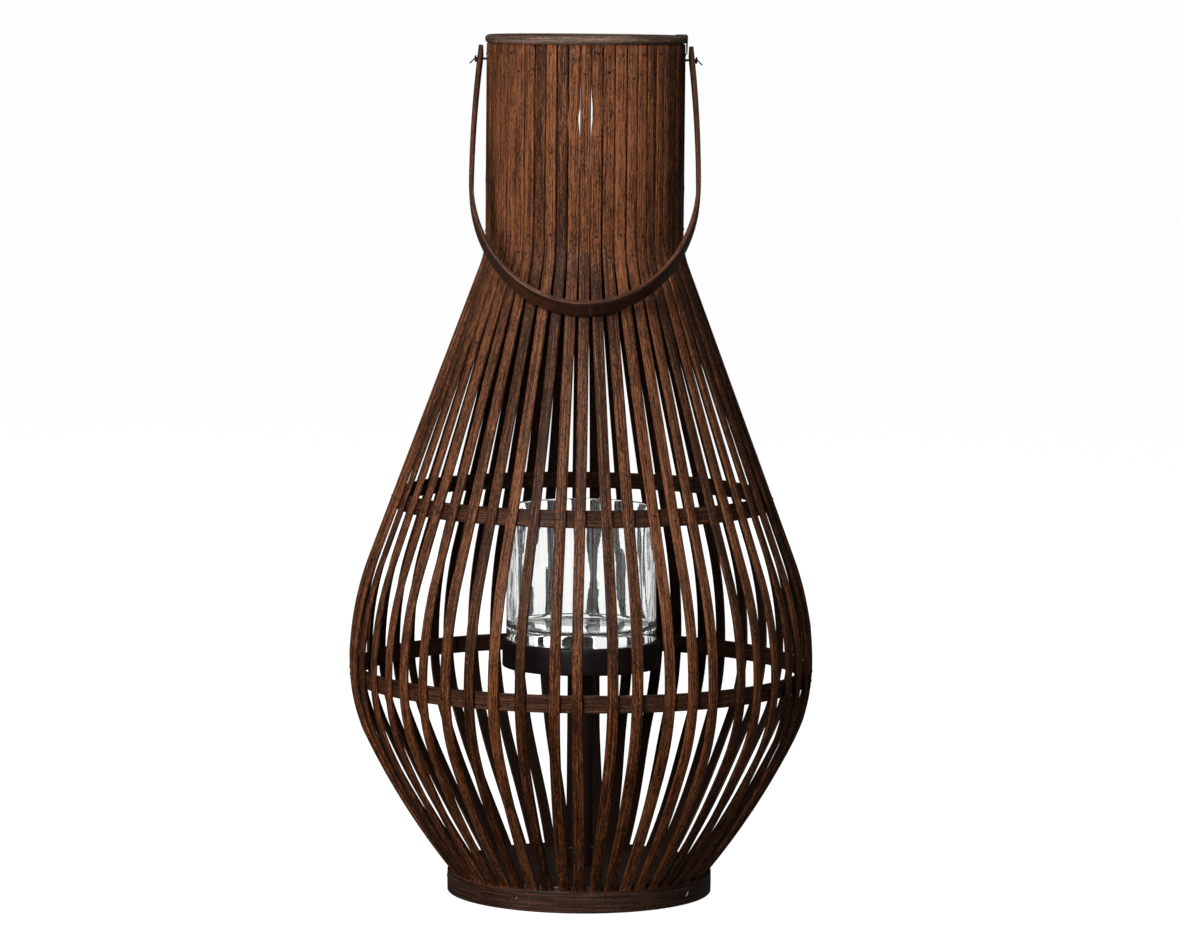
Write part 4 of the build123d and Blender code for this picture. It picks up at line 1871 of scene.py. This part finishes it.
    def add_hole(
        self,
        skin: Skin,
        rings: list[range],
        frame: tuple[Vector, float],
        block: int,
        columns: tuple[list[int], list[int]],
    ) -> None:
        """Line one hole and join it to the faces around it.

        Args:
            skin: The skin that holds the rings.
            rings: Point numbers of every ring.
            frame: Middle and distance along of the ring at the hole's middle.
            block: Number of the first ring of the open block.
            columns: Places of the block's columns on the outer face and on the inner one.
        """
        cells = self.hole_cells
        centre, along = frame
        pivot = Vector((math.copysign(self.pivot_half_span, centre.x), 0, self.pivot_height))
        circles = []
        for column, through in zip(columns, (self.thickness / 2, -self.thickness / 2)):
            border = [rings[block + step][column[0]] for step in range(cells)]
            border += [rings[block + cells][column[step]] for step in range(cells)]
            border += [rings[block + cells - step][column[cells]] for step in range(cells)]
            border += [rings[block][column[cells - step]] for step in range(cells)]
            circle = []
            for number in border:
                offset = skin.points[number].place - pivot
                ray = Vector((0, offset.y, offset.z)).normalized()
                rim = pivot + ray * self.hole_radius
                rim.x = skin.points[number].place.x
                grain = Vector((along, ray.y * self.hole_radius, through))
                # the lining of the hole gets half the painted shade
                circle.append(SkinPoint(rim, grain, 0.0, 0.5))
            numbers = skin.add_ring(circle)
            skin.join(border, numbers)
            circles.append(numbers)
        skin.join(circles[0], circles[1])


# ---------------------------------------------------------------- wire ties
@dataclass
class WireTies(SubAssembly):
    """The wire ties that the handle swings on, and the loop that lashes the rim down."""

    pivot_height: float
    wire: float = 0.00046
    strand_offset: float = 0.0005
    inner_x: float = 0.0624
    knot_x: float = 0.0754
    knot_depth: float = 0.002
    knot_radius: float = 0.0019
    tail: float = 0.005
    hook_rise: float = 0.007
    lashing_angle_deg: float = -10.385
    lashing_low: float = 0.587
    lashing_spread_deg: float = 1.3
    lashing_bend: float = 0.0015
    clearance: float = 0.0001
    strand_turns: float = 2.2
    knot_turns: float = 1.8
    knot_start: float = 0.3
    tail_curl: float = 0.0009
    stub: tuple[tuple[float, float, float], ...] = (
        (0.0, 0.0002, 0.0),
        (0.0012, 0.0008, 0.0008),
        (0.0016, 0.0024, 0.0016),
    )
    wire_sides: int = 10
    steel: WornSteel = WornSteel(
        "tie_wire_steel",
        clean=(0.1, 0.086, 0.076),
        dull=(0.025, 0.019, 0.015),
        roughness=0.42,
    )

    def shank(self, skin: Skin, side: Side) -> None:
        """Twist two strands together through the neck wall.

        Args:
            skin: The skin that takes them.
            side: Which tie it is.
        """
        length = self.knot_x - self.inner_x
        for strand in range(2):
            path = []
            steps = 40
            for step in range(steps + 1):
                share = step / steps
                turn = FULL_TURN * (self.strand_turns * share + strand / 2)
                across = self.strand_offset * math.cos(turn)
                rise = self.strand_offset * math.sin(turn)
                out = self.inner_x + length * share
                path.append(Vector((side.value * out, across, self.pivot_height + rise)))
            skin.add_tube(path, self.wire, self.wire_sides)

    def knot(self, skin: Skin, side: Side) -> None:
        """Wind the wire round outside the handle, and leave a short tail.

        Args:
            skin: The skin that takes it.
            side: Which tie it is.
        """
        path = []
        steps = 44
        for step in range(steps + 1):
            share = step / steps
            turn = FULL_TURN * self.knot_turns * share
            reach = self.knot_radius * (self.knot_start + (1 - self.knot_start) * min(1.0, share * 4))
            out = self.knot_x + self.wire + (self.knot_depth - 2 * self.wire) * share
            place = (side.value * out, -reach * math.sin(turn), self.pivot_height + reach * math.cos(turn))
            path.append(Vector(place))
        way = Vector((side.value * 0.6, -0.2, -0.8)).normalized()
        start = path[-1]
        for step in range(1, 7):
            share = step / 6
            curl = Vector((side.value * self.tail_curl * share * share, 0, 0))
            path.append(start + way * self.tail * share + curl)
        skin.add_tube(path, self.wire, self.wire_sides)
        stub = [
            Vector((side.value * (self.knot_x + out), behind, self.pivot_height + rise))
            for out, behind, rise in self.stub
        ]
        skin.add_tube(stub, self.wire, self.wire_sides)

    def left_hook(self, skin: Skin) -> None:
        """Bend the left wire's inner end up against the band.

        Args:
            skin: The skin that takes it.
        """
        path = []
        steps = 12
        for step in range(steps + 1):
            share = step / steps
            out = -self.inner_x + 0.0002 * math.sin(5 * share)
            lift = self.hook_rise * share
            path.append(Vector((out, 0.0004 * share, self.pivot_height + lift)))
        skin.add_tube(path, self.wire, self.wire_sides)

    def lashing(self, skin: Skin, rim_outer: float, rim_top: float) -> None:
        """Wind the right wire twice over the rim, through the gap between two slats.

        Args:
            skin: The skin that takes it.
            rim_outer: The rim's outer radius.
            rim_top: Height of the rim's top.
        """
        middle = math.radians(self.lashing_angle_deg)
        spread = math.radians(self.lashing_spread_deg)
        inside, outside = self.inner_x, rim_outer + self.wire + self.clearance
        top = rim_top + self.wire + self.clearance
        bend = self.lashing_bend
        for turn_number, lean in enumerate((-spread, 0.2 * spread, 1.3 * spread)):
            path = []
            corners = ((inside, self.lashing_low), (inside, top), (outside, top), (outside, self.lashing_low))
            for number, (radius, height) in enumerate(corners):
                before = corners[number - 1]
                after = corners[(number + 1) % 4]
                for share in (0.0, 0.25, 0.5, 0.75, 1.0):
                    start = self.toward((radius, height), before, bend)
                    end = self.toward((radius, height), after, bend)
                    first = [a + (b - a) * share for a, b in zip(start, (radius, height))]
                    second = [a + (b - a) * share for a, b in zip((radius, height), end)]
                    place = [a + (b - a) * share for a, b in zip(first, second)]
                    swing = lean * ease(place[1], self.lashing_low, top) + 0.0015 * (turn_number - 1)
                    path.append(polar(place[0], middle + swing, place[1]))
            skin.add_tube(path, self.wire, self.wire_sides, closed=True)
        run = [
            Vector((inside, 0, self.pivot_height)),
            Vector((inside - 0.0002, -0.005, self.pivot_height + 0.004)),
            polar(inside, middle, self.lashing_low + 0.003),
        ]
        skin.add_tube(run, self.wire, self.wire_sides)

    @staticmethod
    def toward(corner: tuple[float, float], other: tuple[float, float], reach: float) -> tuple[float, float]:
        """A point a little way from one corner of the loop towards the next."""
        share = reach / math.dist(corner, other)
        return (corner[0] + (other[0] - corner[0]) * share, corner[1] + (other[1] - corner[1]) * share)

    def build(self) -> None:
        """Make both ties."""
        rim_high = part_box("rim_ring")[1]
        for side in Side:
            skin = Skin()
            self.shank(skin, side)
            self.knot(skin, side)
            if side is Side.LEFT:
                self.left_hook(skin)
            else:
                self.lashing(skin, rim_high.x, rim_high.z)
            word = side.name.lower()
            self.keep(skin.make(f"wire_tie_{word}", Body.CAGE, [f"handle_tie_{word}"]), self.steel)


# ---------------------------------------------------------------- pins
@dataclass(frozen=True)
class PinRow:
    """A ring of pins through the slats. Stained ones were driven in before the stain."""

    node: str
    low: float
    high: float
    jitter: float
    stained: bool


@dataclass
class SlatPins(SubAssembly):
    """The small dark pins in the slats, driven in by eye and so not quite in line."""

    slats: list[Slat]
    section: StripSection
    shank: float = 0.0006
    head: float = 0.00105
    length: float = 0.0056
    aside: float = 0.0008
    rows: tuple[PinRow, ...] = (
        PinRow("neck_top_pins", 0.574, 0.586, 0.0028, False),
        PinRow("neck_lower_pins", 0.4515, 0.4635, 0.0028, False),
        PinRow("upper_hoop_pins", 0.2752, 0.2782, 0.0012, True),
        PinRow("lower_hoop_pins", 0.1535, 0.1565, 0.0012, True),
    )
    dark_steel: WornSteel = WornSteel(
        "dark_pin_steel",
        clean=(0.06, 0.045, 0.04),
        dull=(0.012, 0.009, 0.008),
        roughness=0.4,
        metal=0.6,
    )
    stained_steel: WornSteel = WornSteel(
        "stained_pin_steel",
        clean=(0.07, 0.026, 0.012),
        dull=(0.04, 0.015, 0.007),
        roughness=0.5,
        metal=0.1,
    )

    def build(self) -> None:
        """Make every row of pins."""
        draw = random.Random(17)
        outline = nail_outline(self.shank, self.head, self.length)
        for row in self.rows:
            skin = Skin()
            for slat in self.slats:
                height = (row.low, row.high)[slat.number % 2] + draw.uniform(-row.jitter, row.jitter)
                aside = draw.uniform(-self.aside, self.aside)
                place, outward = slat.outer_face(height, aside, self.section)
                placing = Matrix.Translation(place) @ outward.to_track_quat("Z", "Y").to_matrix().to_4x4()
                skin.add_turned(outline, 10, upright_grain, placing)
            piece = skin.make(f"small_{row.node}", Body.CAGE, [row.node])
            self.keep(piece, self.stained_steel if row.stained else self.dark_steel)


# ---------------------------------------------------------------- studio
class Softbox(NamedTuple):
    """A soft light. Its azimuth turns from the front to the right, and its power is in watts."""

    name: str
    azimuth_deg: float
    elevation_deg: float
    distance: float
    size: tuple[float, float]
    power: float
    glints: bool = True


@dataclass
class Studio:
    """A pale floor, soft lights and the camera."""

    camera_place: Vector = field(default_factory=lambda: Vector((0.0, -3.414, 0.644)))
    aim: Vector = field(default_factory=lambda: Vector((0.0056, 0.0, 0.2955)))
    lens: float = 149.6
    roll_deg: float = 0.5
    floor_size: float = 30.0
    sky: float = 0.99
    ambient: float = 0.042
    floor_glow: float = 0.97
    floor_gap: float = 0.0004
    sensor_width: float = 36.0
    softboxes: tuple[Softbox, ...] = (
        Softbox("key_softbox", -24, 25, 2.2, (0.9, 1.1), 38),
        Softbox("fill_softbox", 42, 16, 2.6, (1.2, 1.6), 3.4),
        Softbox("top_softbox", 0, 84, 1.9, (1.4, 1.4), 4),
        Softbox("rear_softbox", 170, 22, 2.6, (1.6, 1.6), 14, glints=False),
    )

    def build_floor(self) -> None:
        """Lay the floor, just under the lantern."""
        mesh = bpy.data.meshes.new("studio_floor")
        builder = bmesh.new()
        bmesh.ops.create_grid(builder, x_segments=8, y_segments=8, size=self.floor_size / 2)
        builder.to_mesh(mesh)
        builder.free()
        floor = bpy.data.objects.new("studio_floor", mesh)
        bpy.context.scene.collection.objects.link(floor)
        floor.location.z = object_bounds()[0].z - self.floor_gap
        graph = NodeGraph("studio_floor_paper")
        paper = graph.spots(graph.stretched(graph.object_place(), (0.4, 0.4, 0.4)), 2.0)
        shades = ((0.0, (0.28, 0.28, 0.28)), (1.0, (0.32, 0.32, 0.32)))
        graph.feed("Base Color", graph.ramp(paper, shades))
        white = (1.0, 1.0, 1.0, 1.0)
        graph.settle(Roughness=0.9, Specular_IOR_Level=0.0)
        graph.settle(Emission_Color=white, Emission_Strength=self.floor_glow)
        mesh.materials.append(graph.material)
        floor.visible_diffuse = False
        floor.visible_glossy = False
        floor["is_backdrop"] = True

    def build_sky(self) -> None:
        """Surround the lantern with white, and light it softly from all round."""
        world = bpy.data.worlds.new("studio_sky")
        world.use_nodes = True
        bpy.context.scene.world = world
        tree = world.node_tree
        background = tree.nodes["Background"]
        background.inputs["Color"].default_value = (1.0, 1.0, 1.0, 1.0)
        path = tree.nodes.new("ShaderNodeLightPath")
        seen = tree.nodes.new("ShaderNodeMath")
        seen.operation = "MAXIMUM"
        tree.links.new(path.outputs["Is Camera Ray"], seen.inputs[0])
        tree.links.new(path.outputs["Is Transmission Ray"], seen.inputs[1])
        strength = tree.nodes.new("ShaderNodeMapRange")
        strength.inputs["To Min"].default_value = self.ambient
        strength.inputs["To Max"].default_value = self.sky
        tree.links.new(seen.outputs[0], strength.inputs["Value"])
        tree.links.new(strength.outputs["Result"], background.inputs["Strength"])

    def build_lights(self) -> None:
        """Hang the lights, and point them at the lantern's middle."""
        low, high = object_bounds()
        for box in self.softboxes:
            light = bpy.data.lights.new(box.name, "AREA")
            light.shape = "RECTANGLE"
            light.size, light.size_y = box.size
            light.energy = box.power
            lamp = bpy.data.objects.new(box.name, light)
            bpy.context.scene.collection.objects.link(lamp)
            azimuth, elevation = math.radians(box.azimuth_deg), math.radians(box.elevation_deg)
            back = polar(math.cos(elevation), FRONT + azimuth, math.sin(elevation))
            lamp.location = (low + high) / 2 + back * box.distance
            lamp.rotation_euler = (-back).to_track_quat("-Z", "Y").to_euler()
            lamp.visible_glossy = box.glints

    def build_camera(self) -> None:
        """Set up the camera."""
        camera = bpy.data.cameras.new("studio_camera")
        camera.lens = self.lens
        camera.sensor_width = self.sensor_width
        camera.clip_start, camera.clip_end = 0.05, 60.0
        stand = bpy.data.objects.new("studio_camera", camera)
        bpy.context.scene.collection.objects.link(stand)
        stand.location = self.camera_place
        look = (self.aim - self.camera_place).to_track_quat("-Z", "Y")
        stand.rotation_euler = (look @ Quaternion((0, 0, 1), math.radians(self.roll_deg))).to_euler()
        bpy.context.scene.camera = stand

    def build(self) -> None:
        """Set up the whole studio."""
        bpy.context.scene.view_settings.view_transform = "Standard"
        self.build_floor()
        self.build_sky()
        self.build_lights()
        self.build_camera()


def pivot_of(frame: dict, joint: str) -> float:
    """Height of a joint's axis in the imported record."""
    found = next(entry for entry in frame["joints"] if entry["name"] == joint)
    return found["pos_m"][2]


def main() -> None:
    """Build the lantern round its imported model, dress it and light it."""
    logging.basicConfig(level=logging.INFO, format="%(name)s: %(message)s")
    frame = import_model()
    nodes = frame["nodes"]
    pivot = pivot_of(frame, "handle_swing")

    cage = SlatCage()
    cage.build()
    cage.dress()
    others = (
        NeckRings(),
        BellyHoops(cage.slats[0].stations),
        SlatPins(cage.slats, cage.section),
        Base(nodes),
        CandleStand(nodes),
        CandleGlass(),
        BailHandle(pivot),
        WireTies(pivot),
    )
    for part in others:
        part.build()
        part.dress()
    Studio().build()


if __name__ == "__main__":
    main()
